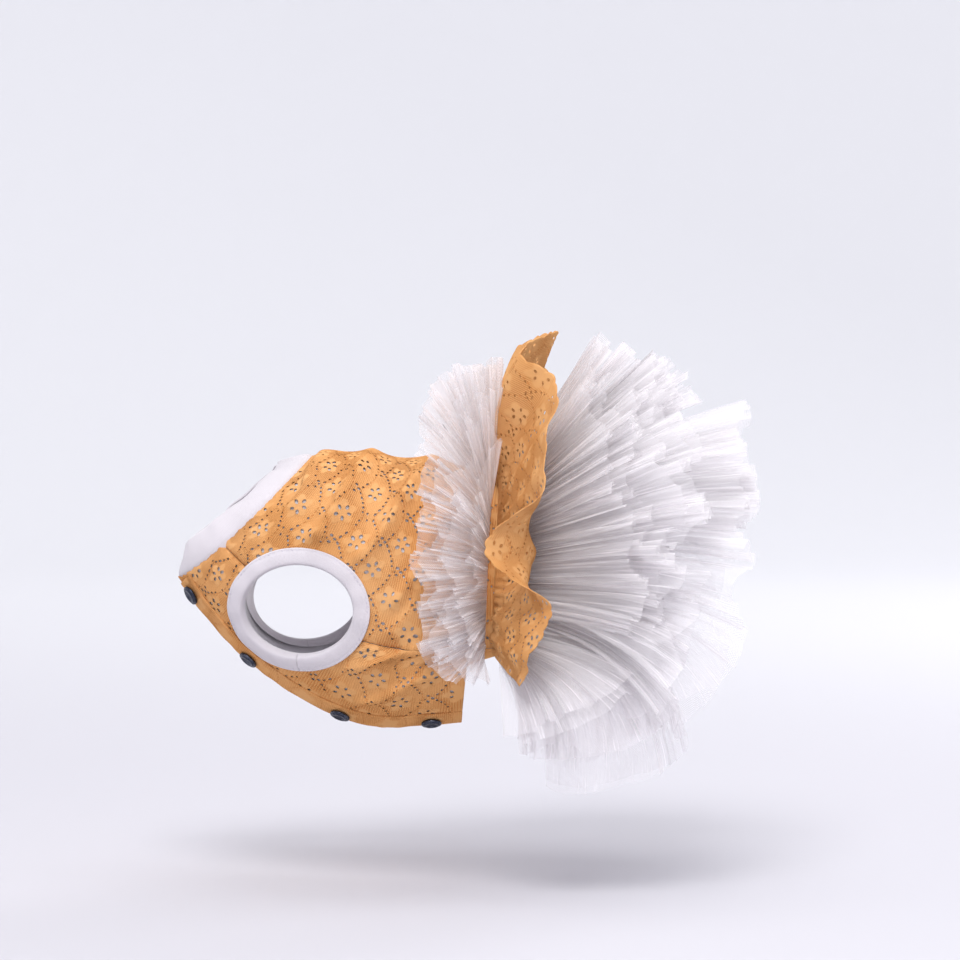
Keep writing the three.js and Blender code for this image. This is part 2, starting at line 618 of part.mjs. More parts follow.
// The closure's top flap, a little to the left of the belly's middle.
function makePlacket() {
  const inside = LACE_OUTSIDE + CLOTH_GAP;
  const columns = 3;
  const rows = BELLY_ROWS;
  const headroom = 0.01;
  const [start, end] = [neckEdge(CLOSURE_TURN) + headroom, BELLY_HEM_SHARE];
  const geometry = sheet(columns, rows, (i, j, side) => {
    const at = start + ((end - start) * j) / rows;
    const beside = (i / columns - 0.5) * PLACKET_WIDTH;
    const degreeWidth = torsoBase(at, CLOSURE_TURN + 1).distanceTo(torsoBase(at, CLOSURE_TURN));
    return torsoPoint(at, CLOSURE_TURN + beside / degreeWidth, inside + side * PLACKET_WALL);
  });
  return pieceOf("placket", geometry, lace);
}

// A press stud's cap: a low dome with a rim, on the placket.
function makeStud(name, at) {
  const radius = STUD_DIAMETER / 2;
  const profile = [
    new THREE.Vector2(0, 0),
    new THREE.Vector2(radius * 0.96, 0),
    new THREE.Vector2(radius, STUD_RIM * 0.5),
    new THREE.Vector2(radius * 0.85, STUD_RIM),
    new THREE.Vector2(radius * 0.5, STUD_CROWN * 0.9),
    new THREE.Vector2(0, STUD_CROWN),
  ];
  const { out } = torsoFrame(at, CLOSURE_TURN);
  const seat = LACE_OUTSIDE + CLOTH_GAP + PLACKET_WALL + CLOTH_GAP;
  const stud = pieceOf(name, new THREE.LatheGeometry(profile, STUD_SEGMENTS), gunmetal);
  stud.position.copy(torsoPoint(at, CLOSURE_TURN, seat));
  stud.quaternion.setFromUnitVectors(new THREE.Vector3(0, 1, 0), out);
  return stud;
}

// Where a layer's seam lies on the waist: a point just off the lace, and the way out from it.
function waistSeam(turn, seam, wall) {
  const { out } = torsoFrame(1, turn);
  const square = out.addScaledVector(TAIL, -out.dot(TAIL)).normalize();
  const fromEdge = (LAST_SEAM + 0.5 - seam) * GATHER_SPACING;
  const nearEdge = 0.9;
  const length = torsoBase(nearEdge, turn).distanceTo(torsoBase(1, turn)) / (1 - nearEdge);
  return { point: torsoPoint(1 - fromEdge / length, turn, LACE_OUTSIDE + CLOTH_GAP + wall / 2), square };
}

// Thickens a grid of middle points into a walled sheet.
function walledSheet(points, wall) {
  const [columns, rows] = [points.length - 1, points[0].length - 1];
  return sheet(columns, rows, (i, j, side) => {
    const round = points[Math.min(i + 1, columns)][j].clone().sub(points[Math.max(i - 1, 0)][j]);
    const along = points[i][Math.min(j + 1, rows)].clone().sub(points[i][Math.max(j - 1, 0)]);
    const out = round.cross(along).normalize();
    return points[i][j].clone().addScaledVector(out, (side - 0.5) * wall);
  });
}

// The middle line of a gathered layer at a turn, from its seam to its free edge.
function layerLine(rows, turn, seam, wall, length, steps) {
  const read = (column) => readColumn(rows, "turn", Math.abs(turn), column);
  const { point, square } = waistSeam(turn, seam, wall);
  const stand = radians(read("stand"));
  const start = TAIL.clone().multiplyScalar(Math.cos(stand)).addScaledVector(square, Math.sin(stand));
  const stride = (read("reach") * length) / steps;
  const line = [point.clone()];
  for (let j = 1; j <= steps; j++) {
    const bend = read("limp") * ((j - 0.5) / steps);
    const heading = start.clone().multiplyScalar(Math.max(1 - bend, 0)).addScaledVector(DOWN, bend);
    point.addScaledVector(heading.normalize(), stride);
    line.push(point.clone());
  }
  return line;
}

// A gathered layer of tulle: flat at its seam, with flutes that deepen towards its free edge.
function makeTulleLayer(name) {
  const { seam, length, wave, rows } = LAYERS[name];
  const columns = FLUTES * SAMPLES_PER_FLUTE;
  const uneven = (i) => Math.sin((UNEVEN_TURN * i) / SAMPLES_PER_FLUTE);
  const lines = Array.from({ length: columns + 1 }, (_, i) => {
    const turn = SKIRT_END_TURN * ((2 * i) / columns - 1);
    return layerLine(rows, turn, seam, TULLE_WALL, length * (1 + UNEVEN_REACH * uneven(i)), LAYER_STEPS);
  });
  const points = lines.map((line, i) =>
    line.map((point, j) => {
      const round = lines[Math.min(i + 1, columns)][j].clone().sub(lines[Math.max(i - 1, 0)][j]);
      const along = line[Math.min(j + 1, LAYER_STEPS)].clone().sub(line[Math.max(j - 1, 0)]);
      const out = round.cross(along).normalize();
      const flute = Math.SQRT2 * Math.sin((2 * Math.PI * (i + 0.5)) / SAMPLES_PER_FLUTE);
      const depth = wave * (1 + UNEVEN_DEPTH * uneven(2 * i));
      return point.clone().addScaledVector(out, flute * depth * (j / LAYER_STEPS) ** FLUTE_POWER);
    }),
  );
  return pieceOf(name, walledSheet(points, TULLE_WALL), tulle);
}

// The lace flounce stands straight out from the waist, and its free edge waves to and fro.
function makeFlounce() {
  const seam = -0.5;
  const points = [];
  for (let i = 0; i <= FLOUNCE_COLUMNS; i++) {
    const turn = FLOUNCE_END_TURN * ((2 * i) / FLOUNCE_COLUMNS - 1);
    const read = (column) => readColumn(FLOUNCE_ROWS, "turn", Math.abs(turn), column);
    const { point, square } = waistSeam(turn, seam, FLOUNCE_WALL);
    const lean = radians(read("lean"));
    const column = [];
    for (let j = 0; j <= FLOUNCE_STEPS; j++) {
      const share = j / FLOUNCE_STEPS;
      const reach = share * read("width") * FLOUNCE_WIDTH;
      const swing = share ** FLOUNCE_POWER * read("wave") + 4 * share * (1 - share) * read("bulge");
      const tailwards = reach * Math.sin(lean) + swing * FLOUNCE_WAVE;
      const place = point.clone().addScaledVector(square, reach * Math.cos(lean));
      column.push(place.addScaledVector(TAIL, tailwards));
    }
    points.push(column);
  }
  return pieceOf("flounce", walledSheet(points, FLOUNCE_WALL), lace);
}

const bodice = new THREE.Group();
bodice.add(makeBackLace(), makeBellyLace(), makeLining(), makeCollar());
bodice.add(makeBinding("binding_left", 1), makeBinding("binding_right", -1));

const closure = new THREE.Group();
closure.add(makePlacket());
for (let n = 0; n < STUD_COUNT; n++) {
  const at = STUD_FIRST_SHARE + ((STUD_LAST_SHARE - STUD_FIRST_SHARE) * n) / (STUD_COUNT - 1);
  closure.add(makeStud(`stud_${n + 1}`, at));
}

const skirt = new THREE.Group();
skirt.add(makeFlounce(), ...Object.keys(LAYERS).map(makeTulleLayer));

const dress = new THREE.Group();
dress.add(bodice, closure, skirt);

export default dress;
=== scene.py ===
# %% [markdown]
# # A small dress of lace and tulle, from its cut cloth to its looks
# The dress has a lace bodice over a white knit lining, a white neckband, two bound leg holes,
# a flap with press studs under the belly, a lace flounce that stands up round the waist, and a
# skirt of four gathered tulle layers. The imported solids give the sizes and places. Here each
# plain solid is replaced by cloth with holes, stitches, gathers and a weave of its own.

import math

import bpy
import bmesh
import numpy as np
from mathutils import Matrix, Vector, geometry


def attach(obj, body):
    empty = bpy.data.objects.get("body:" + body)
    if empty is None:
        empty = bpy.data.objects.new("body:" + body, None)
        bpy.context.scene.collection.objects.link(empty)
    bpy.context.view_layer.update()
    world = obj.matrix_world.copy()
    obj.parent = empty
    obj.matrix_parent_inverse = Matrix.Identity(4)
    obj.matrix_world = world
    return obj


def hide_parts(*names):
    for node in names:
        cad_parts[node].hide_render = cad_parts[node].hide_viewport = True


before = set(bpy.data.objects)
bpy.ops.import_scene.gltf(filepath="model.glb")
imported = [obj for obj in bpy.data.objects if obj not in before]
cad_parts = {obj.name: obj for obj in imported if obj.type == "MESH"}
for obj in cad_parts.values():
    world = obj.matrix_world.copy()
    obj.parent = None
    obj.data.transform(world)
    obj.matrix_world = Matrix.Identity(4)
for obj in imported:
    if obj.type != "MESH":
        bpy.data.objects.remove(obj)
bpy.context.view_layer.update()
MM = 0.001

# %% [markdown]
# ## The camera and the room
# The dress is seen from its left side, a little from above, with a long lens, which keeps the
# two sides of the skirt nearly the same size. The frame is 499 mm wide at the dress. The room is
# a pale bowl: a floor that curves up into a wall on all sides, so no edge shows from anywhere.
# Its paper is a little darker on the floor, where more light falls, so the two look alike.

# %% Camera
FRAME_WIDTH = 499 * MM
CAMERA_DISTANCE = 2.0
CAMERA_ELEVATION = math.radians(3)
FRAME_MIDDLE = Vector((41.6, 0, 57.2)) * MM
SENSOR_WIDTH = 36

camera_data = bpy.data.cameras.new("camera")
camera_data.sensor_width = SENSOR_WIDTH
camera_data.lens = SENSOR_WIDTH * CAMERA_DISTANCE / FRAME_WIDTH
camera = bpy.data.objects.new("camera", camera_data)
bpy.context.collection.objects.link(camera)
back_off = Vector((0, -math.cos(CAMERA_ELEVATION), math.sin(CAMERA_ELEVATION)))
camera.location = FRAME_MIDDLE + CAMERA_DISTANCE * back_off
camera.rotation_euler = (math.pi / 2 - CAMERA_ELEVATION, 0, 0)
bpy.context.scene.camera = camera
print("lens in mm:", round(camera_data.lens))

# %% [markdown]
# ## Helpers for finishes
# Each finish below is a small graph of nodes. It could be wired by hand, but every helper here
# adds one node and gives back its result, so a finish reads like a recipe.


# %% Helpers for materials
def new_material(name):
    """A material with an empty node tree, its output node, and the tree."""
    material = bpy.data.materials.new(name)
    material.use_nodes = True
    tree = material.node_tree
    tree.nodes.clear()
    return material, tree, tree.nodes.new("ShaderNodeOutputMaterial")


def join(tree, source, target):
    """Links a socket, or sets a plain value."""
    if isinstance(source, bpy.types.NodeSocket):
        tree.links.new(source, target)
    else:
        target.default_value = source


def maths(tree, operation, *values):
    """The result of a Math node."""
    node = tree.nodes.new("ShaderNodeMath")
    node.operation = operation
    for socket, value in zip(node.inputs, values):
        join(tree, value, socket)
    return node.outputs[0]


def ramp(tree, value, low, high, start=0.0, end=1.0):
    """A smooth step of a value, from start at low to end at high."""
    node = tree.nodes.new("ShaderNodeMapRange")
    node.interpolation_type = "SMOOTHSTEP"
    join(tree, value, node.inputs["Value"])
    node.inputs["From Min"].default_value = low
    node.inputs["From Max"].default_value = high
    node.inputs["To Min"].default_value = start
    node.inputs["To Max"].default_value = end
    return node.outputs["Result"]


def blend_colours(tree, share, first, second):
    """A mix of two colours."""
    node = tree.nodes.new("ShaderNodeMix")
    node.data_type = "RGBA"
    join(tree, share, node.inputs["Factor"])
    join(tree, first, node.inputs["A"])
    join(tree, second, node.inputs["B"])
    return node.outputs["Result"]


def noise(tree, vector, scale, detail):
    """A noise value about a half."""
    node = tree.nodes.new("ShaderNodeTexNoise")
    join(tree, vector, node.inputs["Vector"])
    node.inputs["Scale"].default_value = scale
    node.inputs["Detail"].default_value = detail
    return node.outputs["Fac"]


def bump(tree, height, distance):
    """A normal from a height."""
    node = tree.nodes.new("ShaderNodeBump")
    join(tree, height, node.inputs["Height"])
    node.inputs["Distance"].default_value = distance
    return node.outputs["Normal"]


# %% Places that a finish can read
def cloth_millimetres(tree):
    """The cloth's own flat coordinates in millimetres, across and along, from its UV map."""
    uv = tree.nodes.new("ShaderNodeUVMap")
    uv.uv_map = "cloth"
    split = tree.nodes.new("ShaderNodeSeparateXYZ")
    tree.links.new(uv.outputs["UV"], split.inputs[0])
    across = maths(tree, "MULTIPLY", split.outputs[0], 1 / MM)
    along = maths(tree, "MULTIPLY", split.outputs[1], 1 / MM)
    return across, along


def object_place(tree):
    """The place on the object, in metres."""
    return tree.nodes.new("ShaderNodeTexCoord").outputs["Object"]


def linear(red, green, blue):
    """A colour as a picture gives it, from 0 to 255, as the light that a shader wants."""
    def light(value):
        share = value / 255
        return share / 12.92 if share <= 0.04045 else ((share + 0.055) / 1.055) ** 2.4

    return (light(red), light(green), light(blue), 1.0)


# %% [markdown]
# ## The room's bowl
# The bowl is turned like a dish: rings of corners, each a little further out and up, with faces
# between them.

# %% Room
BOWL_RADIUS = 3.4
BOWL_CURVE = 1.2
BOWL_HEIGHT = 3.0
FLOOR_LEVEL = -0.151
BOWL_SIDES = 96
CURVE_STEPS = 14
FLOOR_TONE = (0.57, 0.56, 0.60, 1)
WALL_TONE = (0.85, 0.85, 0.875, 1)
FLOOR_TONE_END, WALL_TONE_START = 0.3, 2.4  # distances from the middle, in metres


def make_room(paper):
    """A pale floor that curves up into a round wall."""
    arc = np.linspace(0, math.pi / 2, CURVE_STEPS)
    radii = [0.0, *(BOWL_RADIUS - BOWL_CURVE + BOWL_CURVE * np.sin(arc)), BOWL_RADIUS]
    heights = [0.0, *(BOWL_CURVE - BOWL_CURVE * np.cos(arc)), BOWL_HEIGHT]
    turns = 2 * math.pi * np.arange(BOWL_SIDES) / BOWL_SIDES
    mesh = bmesh.new()
    rings = []
    for radius, height in zip(radii[1:], heights[1:]):
        ring = [(radius * math.cos(turn), radius * math.sin(turn), height) for turn in turns]
        rings.append([mesh.verts.new(place) for place in ring])
    mesh.faces.new(rings[0])
    for lower, upper in zip(rings, rings[1:]):
        for i in range(BOWL_SIDES):
            j = (i + 1) % BOWL_SIDES
            mesh.faces.new((lower[j], lower[i], upper[i], upper[j]))
    data = bpy.data.meshes.new("room")
    mesh.to_mesh(data)
    data.shade_smooth()
    room = bpy.data.objects.new("room", data)
    room.location.z = FLOOR_LEVEL
    bpy.context.collection.objects.link(room)
    data.materials.append(paper)


def make_room_paper():
    """Matt paper whose tone changes from the floor's to the wall's with the distance outwards."""
    material, tree, output = new_material("room_paper")
    paper = tree.nodes.new("ShaderNodeBsdfPrincipled")
    split = tree.nodes.new("ShaderNodeSeparateXYZ")
    tree.links.new(object_place(tree), split.inputs[0])
    squares = [maths(tree, "POWER", split.outputs[axis], 2.0) for axis in (0, 1)]
    radius = maths(tree, "SQRT", maths(tree, "ADD", *squares))
    on_wall = ramp(tree, radius, FLOOR_TONE_END, WALL_TONE_START)
    tone = blend_colours(tree, on_wall, FLOOR_TONE, WALL_TONE)
    tree.links.new(tone, paper.inputs["Base Color"])
    paper.inputs["Roughness"].default_value = 0.9
    tree.links.new(paper.outputs[0], output.inputs["Surface"])
    return material


make_room(make_room_paper())
print("room's radius in metres:", BOWL_RADIUS)

# %% [markdown]
# ## Light
# The photograph has the light of a pale studio: a broad soft light from above and in front,
# weaker ones from above and from behind that glow through the tulle, and a bright room that
# fills the shade.


# %% Lights
def add_light(name, place, size, watts):
    """A square soft light that points at the dress."""
    data = bpy.data.lights.new(name, "AREA")
    data.shape = "SQUARE"
    data.size = size
    data.energy = watts
    light = bpy.data.objects.new(name, data)
    light.location = place
    light.rotation_euler = (FRAME_MIDDLE - Vector(place)).to_track_quat("-Z", "Y").to_euler()
    bpy.context.collection.objects.link(light)


add_light("key_light", (-0.1, -1.6, 2.0), 1.0, 42)
add_light("top_light", (0.3, 0.1, 2.3), 1.6, 15)
add_light("back_light", (1.3, 1.4, 1.2), 1.0, 13)
world = bpy.data.worlds.new("studio")
world.use_nodes = True
daylight = world.node_tree.nodes["Background"]
daylight.inputs["Color"].default_value = (0.95, 0.95, 1.0, 1)
daylight.inputs["Strength"].default_value = 0.76
bpy.context.scene.world = world
bpy.context.scene.view_settings.view_transform = "Standard"
print("lights:", [light.name for light in bpy.data.lights])

# %% [markdown]
# ## The body that the cloth is cut to
# The bodice follows sections from the neck to the waist, as a dressmaker's form does. Each place
# has two numbers: at, from 0 at the neck to 1 at the waist, and turn, an angle from 0 at the
# back, through 90 at the left side, to 180 at the belly. The tables repeat the solids' shares of
# three sizes, so that each cloth lies where its solid does.

# %% Sizes of the bodice
TORSO_LENGTH = 166 * MM
CHEST_DEPTH = 136 * MM
CHEST_WIDTH = 104 * MM
ROUNDNESS = 2.25
SEAM_TURN = 110
BELLY_HEM = 0.9
HEM_RUN = 9
NECK_DIP = 0.035
LACE_LIFT = 1.65 * MM  # the lace's middle, out from the lining's
FOLD_HEIGHT = 5.0 * MM
FOLD_FADE = 9 * MM
SEAM_BAND = 22 * MM
CLOSURE_TURN = 156.0  # the closure lies a little to the left of the belly's middle
FLAP_WIDTH = 15 * MM

SECTIONS = [
    {"at": 0.0, "back_x": -0.27, "back_z": 0.5, "belly_x": -0.68, "belly_z": 0.05, "width": 0.64},
    {"at": 0.17, "back_x": -0.19, "back_z": 0.515, "belly_x": -0.6, "belly_z": -0.085, "width": 0.82},
    {"at": 0.33, "back_x": -0.11, "back_z": 0.505, "belly_x": -0.47, "belly_z": -0.255, "width": 0.94},
    {"at": 0.5, "back_x": -0.015, "back_z": 0.49, "belly_x": -0.275, "belly_z": -0.42, "width": 1.0},
    {"at": 0.67, "back_x": 0.08, "back_z": 0.485, "belly_x": -0.085, "belly_z": -0.505, "width": 0.99},
    {"at": 0.83, "back_x": 0.2, "back_z": 0.455, "belly_x": 0.095, "belly_z": -0.5, "width": 0.95},
    {"at": 1.0, "back_x": 0.36, "back_z": 0.395, "belly_x": 0.335, "belly_z": -0.475, "width": 0.9},
]


# %% Reading a table smoothly
def read_column(rows, key, place, column):
    """A column of a table at any places, on a smooth curve through its rows."""
    keys = np.array([row[key] for row in rows], float)
    values = np.array([row[column] for row in rows], float)
    place = np.asarray(place, float)
    i = np.clip(np.searchsorted(keys, place) - 1, 0, len(keys) - 2)
    before, after = np.maximum(i - 1, 0), np.minimum(i + 2, len(keys) - 1)
    span = keys[i + 1] - keys[i]
    t = (place - keys[i]) / span
    first_slope = span * (values[i + 1] - values[before]) / (keys[i + 1] - keys[before])
    last_slope = span * (values[after] - values[i]) / (keys[after] - keys[i])
    rise = values[i + 1] - values[i]
    curve = 3 * rise - 2 * first_slope - last_slope + t * (first_slope + last_slope - 2 * rise)
    return values[i] + t * (first_slope + t * curve)


def smooth_step(value, low, high):
    """0 below low, 1 above high, and smooth between."""
    share = np.clip((value - low) / (high - low), 0, 1)
    return share * share * (3 - 2 * share)


# %% Places on the body
def from_back(turn):
    """How many degrees a turn lies from the back, on either side."""
    return np.abs((turn + 180) % 360 - 180)


def unit(vectors):
    """The same vectors at length 1."""
    return vectors / np.linalg.norm(vectors, axis=-1, keepdims=True)


def body_base(at, turn):
    """Points of the lining's middle surface."""
    at, turn = np.broadcast_arrays(np.asarray(at, float), np.asarray(turn, float))
    zero = np.zeros_like(at)

    def on_midline(x, z):
        along = read_column(SECTIONS, "at", at, x) * TORSO_LENGTH
        up = read_column(SECTIONS, "at", at, z) * CHEST_DEPTH
        return np.stack([along, zero, up], -1)

    back, belly = on_midline("back_x", "back_z"), on_midline("belly_x", "belly_z")
    c, s = np.cos(np.radians(turn)), np.sin(np.radians(turn))
    size = (np.abs(c) ** ROUNDNESS + np.abs(s) ** ROUNDNESS) ** (-1 / ROUNDNESS)
    half_width = read_column(SECTIONS, "at", at, "width") * CHEST_WIDTH / 2
    sideways = np.stack([zero, -half_width * s * size, zero], -1)
    return (back + belly) / 2 + (back - belly) / 2 * (c * size)[..., None] + sideways


def body_frame(at, turn):
    """Directions at places of the body: out of the cloth, round the body, and towards the tail."""
    small_turn, small_step = 0.5, 0.004
    round_body = unit(body_base(at, turn + small_turn) - body_base(at, turn - small_turn))
    along = unit(body_base(at + small_step, turn) - body_base(at - small_step, turn))
    out = unit(np.cross(round_body, along))
    return out, round_body, np.cross(out, round_body)


def body_point(at, turn, lift):
    """Points at a distance out from the lining's middle."""
    return body_base(at, turn) + body_frame(at, turn)[0] * np.asarray(lift)[..., None]


def neck_edge(turn):
    """Where the neck seam lies."""
    return NECK_DIP * np.sin(np.radians(turn)) ** 2


def rear_edge(turn):
    """Where the cloth ends at the back: at the waist, or sooner under the belly."""
    return 1 - (1 - BELLY_HEM) * smooth_step(from_back(turn), SEAM_TURN, SEAM_TURN + HEM_RUN)


chest_steps = np.diff(body_base(0.5, np.arange(361)), axis=0)
print("girth at the chest in mm:", round(float(np.linalg.norm(chest_steps, axis=1).sum()) / MM))

# %% [markdown]
# ## Leg holes
# Seen from the side, each leg hole's rim is an ellipse. A few steps of Newton's method find the
# place on the body behind each point of it. The same places cut the cloth and carry the binding.

# %% Sizes of the leg holes
LEG_HOLE_LENGTH = 56 * MM
LEG_HOLE_DEPTH = 46 * MM
LEG_HOLE_X = -0.306 * TORSO_LENGTH
LEG_HOLE_Z = -0.048 * CHEST_DEPTH
BINDING_WIDTH = 8.6 * MM
BINDING_WALL = 1.0 * MM


# %% Finding the rim
SOLVER_STEPS = 20


def side_view_place(x, z):
    """The places of the left side that a side view shows at x and z."""
    at, turn = np.full_like(x, 0.4), np.full_like(x, 95.0)
    small_step, small_turn = 0.002, 0.3
    for _ in range(SOLVER_STEPS):
        base = body_base(at, turn)
        a = (body_base(at + small_step, turn) - base) / small_step
        t = (body_base(at, turn + small_turn) - base) / small_turn
        dx, dz = x - base[..., 0], z - base[..., 2]
        det = a[..., 0] * t[..., 2] - a[..., 2] * t[..., 0]
        at = at + np.clip((dx * t[..., 2] - dz * t[..., 0]) / det, -0.1, 0.1)
        turn = turn + np.clip((a[..., 0] * dz - a[..., 2] * dx) / det, -15, 15)
    return at, turn


def rim_places(angles):
    """Places of the rim at angles round the hole."""
    x = LEG_HOLE_X + LEG_HOLE_LENGTH / 2 * np.cos(angles)
    z = LEG_HOLE_Z + LEG_HOLE_DEPTH / 2 * np.sin(angles)
    return side_view_place(x, z)


def grown_rim(count, grow):
    """Places round the hole at a distance outwards from its rim, along the cloth."""
    angles = 2 * np.pi * (np.arange(count) / count - 0.25)
    small = 0.05
    tangent = unit(body_base(*rim_places(angles + small)) - body_base(*rim_places(angles - small)))
    at, turn = rim_places(angles)
    steps = 4
    for _ in range(steps):
        outwards = np.cross(tangent, body_frame(at, turn)[0]) * grow / steps
        small_step, small_turn = 0.004, 0.5
        a = (body_base(at + small_step, turn) - body_base(at, turn)) / small_step
        t = (body_base(at, turn + small_turn) - body_base(at, turn)) / small_turn
        aa, tt, mix = (a * a).sum(-1), (t * t).sum(-1), (a * t).sum(-1)
        sa, st = (outwards * a).sum(-1), (outwards * t).sum(-1)
        det = aa * tt - mix**2
        at = at + (sa * tt - st * mix) / det
        turn = turn + (st * aa - sa * mix) / det
    return at, turn


rim_length = np.linalg.norm(np.diff(body_base(*grown_rim(80, 0)), axis=0), axis=1).sum()
print("leg hole's rim in mm:", round(float(rim_length) / MM))

# %% [markdown]
# ## Folds of the lace
# The lace is cut a little loose, so it hangs in soft folds from the back down to the leg hole.
# Each fold is a ridge between two places. Its lower side falls away gently and its upper side
# steeply, as cloth does that has slid down and rests on itself. Small creases are added to them.

# %% Table of folds
FOLDS = [
    {"from_x": -0.225, "from_z": 0.545, "to_x": -0.32, "to_z": 0.33, "height": 0.5, "spread": 0.026},
    {"from_x": -0.29, "from_z": 0.39, "to_x": -0.43, "to_z": 0.15, "height": 0.3, "spread": 0.024},
    {"from_x": -0.065, "from_z": 0.55, "to_x": -0.3, "to_z": 0.15, "height": 1.0, "spread": 0.04},
    {"from_x": 0.115, "from_z": 0.52, "to_x": -0.14, "to_z": 0.11, "height": 0.85, "spread": 0.038},
    {"from_x": 0.17, "from_z": 0.37, "to_x": 0.0, "to_z": 0.0, "height": 0.6, "spread": 0.036},
    {"from_x": 0.11, "from_z": 0.11, "to_x": -0.02, "to_z": -0.12, "height": 0.4, "spread": 0.034},
    {"from_x": 0.13, "from_z": -0.165, "to_x": -0.14, "to_z": -0.25, "height": 0.5, "spread": 0.024},
    {"from_x": 0.19, "from_z": -0.24, "to_x": -0.13, "to_z": -0.4, "height": 0.45, "spread": 0.026},
    {"from_x": 0.2, "from_z": -0.36, "to_x": 0.0, "to_z": -0.43, "height": 0.25, "spread": 0.026},
]
STEEP_SIDE = 0.36  # a fold's steep side, as a share of its spread, on the dress's side
ROUND_SIDE = 0.8  # and at the back, where the folds are rounder and lower
SIDE_START, SIDE_END = 8, 50  # degrees from the back between which the one becomes the other
LOW_FOLD, FULL_FOLD = 0.65, 1.3  # how high the folds are at the back and at the side


# %% Height of the folds
def fold_lift(at, turn):
    """How far the folds lift the lace at each place. They die away towards each seam."""
    point = body_base(at, turn)
    x, z = point[..., 0] / TORSO_LENGTH, point[..., 2] / CHEST_DEPTH
    ratio = CHEST_DEPTH / TORSO_LENGTH
    height = np.zeros_like(x)
    on_side = smooth_step(from_back(turn), SIDE_START, SIDE_END)
    steep = ROUND_SIDE + (STEEP_SIDE - ROUND_SIDE) * on_side
    for fold in FOLDS:
        run_x, run_z = fold["to_x"] - fold["from_x"], (fold["to_z"] - fold["from_z"]) * ratio
        dx, dz = x - fold["from_x"], (z - fold["from_z"]) * ratio
        length = math.hypot(run_x, run_z)
        share = (dx * run_x + dz * run_z) / length**2
        sway = 0.006 * np.sin(9 * share + 40 * fold["spread"])
        beside = ((dx * run_z - dz * run_x) / length + sway) / fold["spread"]
        beside = np.where(beside > 0, beside / steep, beside)
        past = np.maximum((np.abs(share - 0.5) - 0.5) * length, 0) / fold["spread"]
        height = np.maximum(height, fold["height"] * np.exp(-(np.abs(beside) ** 1.6) - past**2))
    height = height * (LOW_FOLD + (FULL_FOLD - LOW_FOLD) * on_side)
    creases = 0.05 * np.sin(46 * x + 30 * z) * np.sin(31 * z - 9 * x + 2 * point[..., 1] / CHEST_WIDTH)
    hole_x = (point[..., 0] - LEG_HOLE_X) / (LEG_HOLE_LENGTH / 2 + BINDING_WIDTH)
    hole_z = (point[..., 2] - LEG_HOLE_Z) / (LEG_HOLE_DEPTH / 2 + BINDING_WIDTH)
    from_hole = (np.hypot(hole_x, hole_z) - 1) * (LEG_HOLE_DEPTH / 2 + BINDING_WIDTH)
    from_ends = np.minimum((at - neck_edge(turn)) * TORSO_LENGTH, (1 - at) * TORSO_LENGTH - SEAM_BAND)
    under = from_back(turn) > SEAM_TURN
    beside_flap = np.abs(point[..., 1] - body_base(at, CLOSURE_TURN)[..., 1]) - FLAP_WIDTH / 2
    from_flap = np.where(under, beside_flap, FOLD_FADE)
    room = np.minimum(np.minimum(from_hole, from_ends), from_flap)
    return (height + creases + 0.05) * smooth_step(room, 0.5 * MM, FOLD_FADE) * FOLD_HEIGHT


side_places = np.meshgrid(np.linspace(0, 1, 80), np.linspace(0, SEAM_TURN, 80))
print("tallest fold in mm:", round(float(fold_lift(*side_places).max()) / MM, 2))

# %% [markdown]
# ## Cloth with real holes
# Lace could be a see-through picture on a plain sheet, but its holes should have edges that
# catch the light. So the pattern is drawn flat, in millimetres, and cut into triangles round
# each hole with a constrained Delaunay triangulation. Then every corner is carried from the
# flat cloth to its place on the body. Each hole is made round where it lies on the body, so
# stretching the cloth doesn't squash it. A ring of corners round each hole stands a little
# proud, as the thread does that is worked round an eyelet.

# %% The pattern of the lace
CELL_WIDTH = 28.0  # of the pattern's repeat across the cloth, in mm
CELL_LENGTH = 25.0  # and along it
SCALLOP_RISE = 3.4
FLOWER_RADIUS = 3.1
PETALS = 5
HOLE_CORNERS = 8
CORD_WIDTH = 0.45
PETAL_HOLE = (1.25, 0.88)  # half the length and half the width of a hole, in mm
TIP_HOLE = (0.98, 0.72)
TIP_PLACES = ((0.0, -0.6), (-1.7, -2.6), (1.7, -2.6), (0.0, -4.4))
CHAIN_STEP = 2.45
CHAIN_SIZE = 0.62  # half the length of the chain's small holes
CHAIN_END_SIZE = 0.9
CHAIN_WIDTH = 0.55
CHAIN_CLOSED = 0.25  # the share of them that the yarn's hair has closed
UNEVEN_SIZE = 0.14
HALF_DROP = ((0.0, 0.0), (CELL_WIDTH / 2, CELL_LENGTH / 2))  # every second row is moved aside


def scallop_height(across):
    """The chain's line: a round arch over each flower, with a point between two arches."""
    arch = np.abs(np.cos(np.pi * across / CELL_WIDTH))
    return CELL_LENGTH / 4 - SCALLOP_RISE + 2 * SCALLOP_RISE * arch


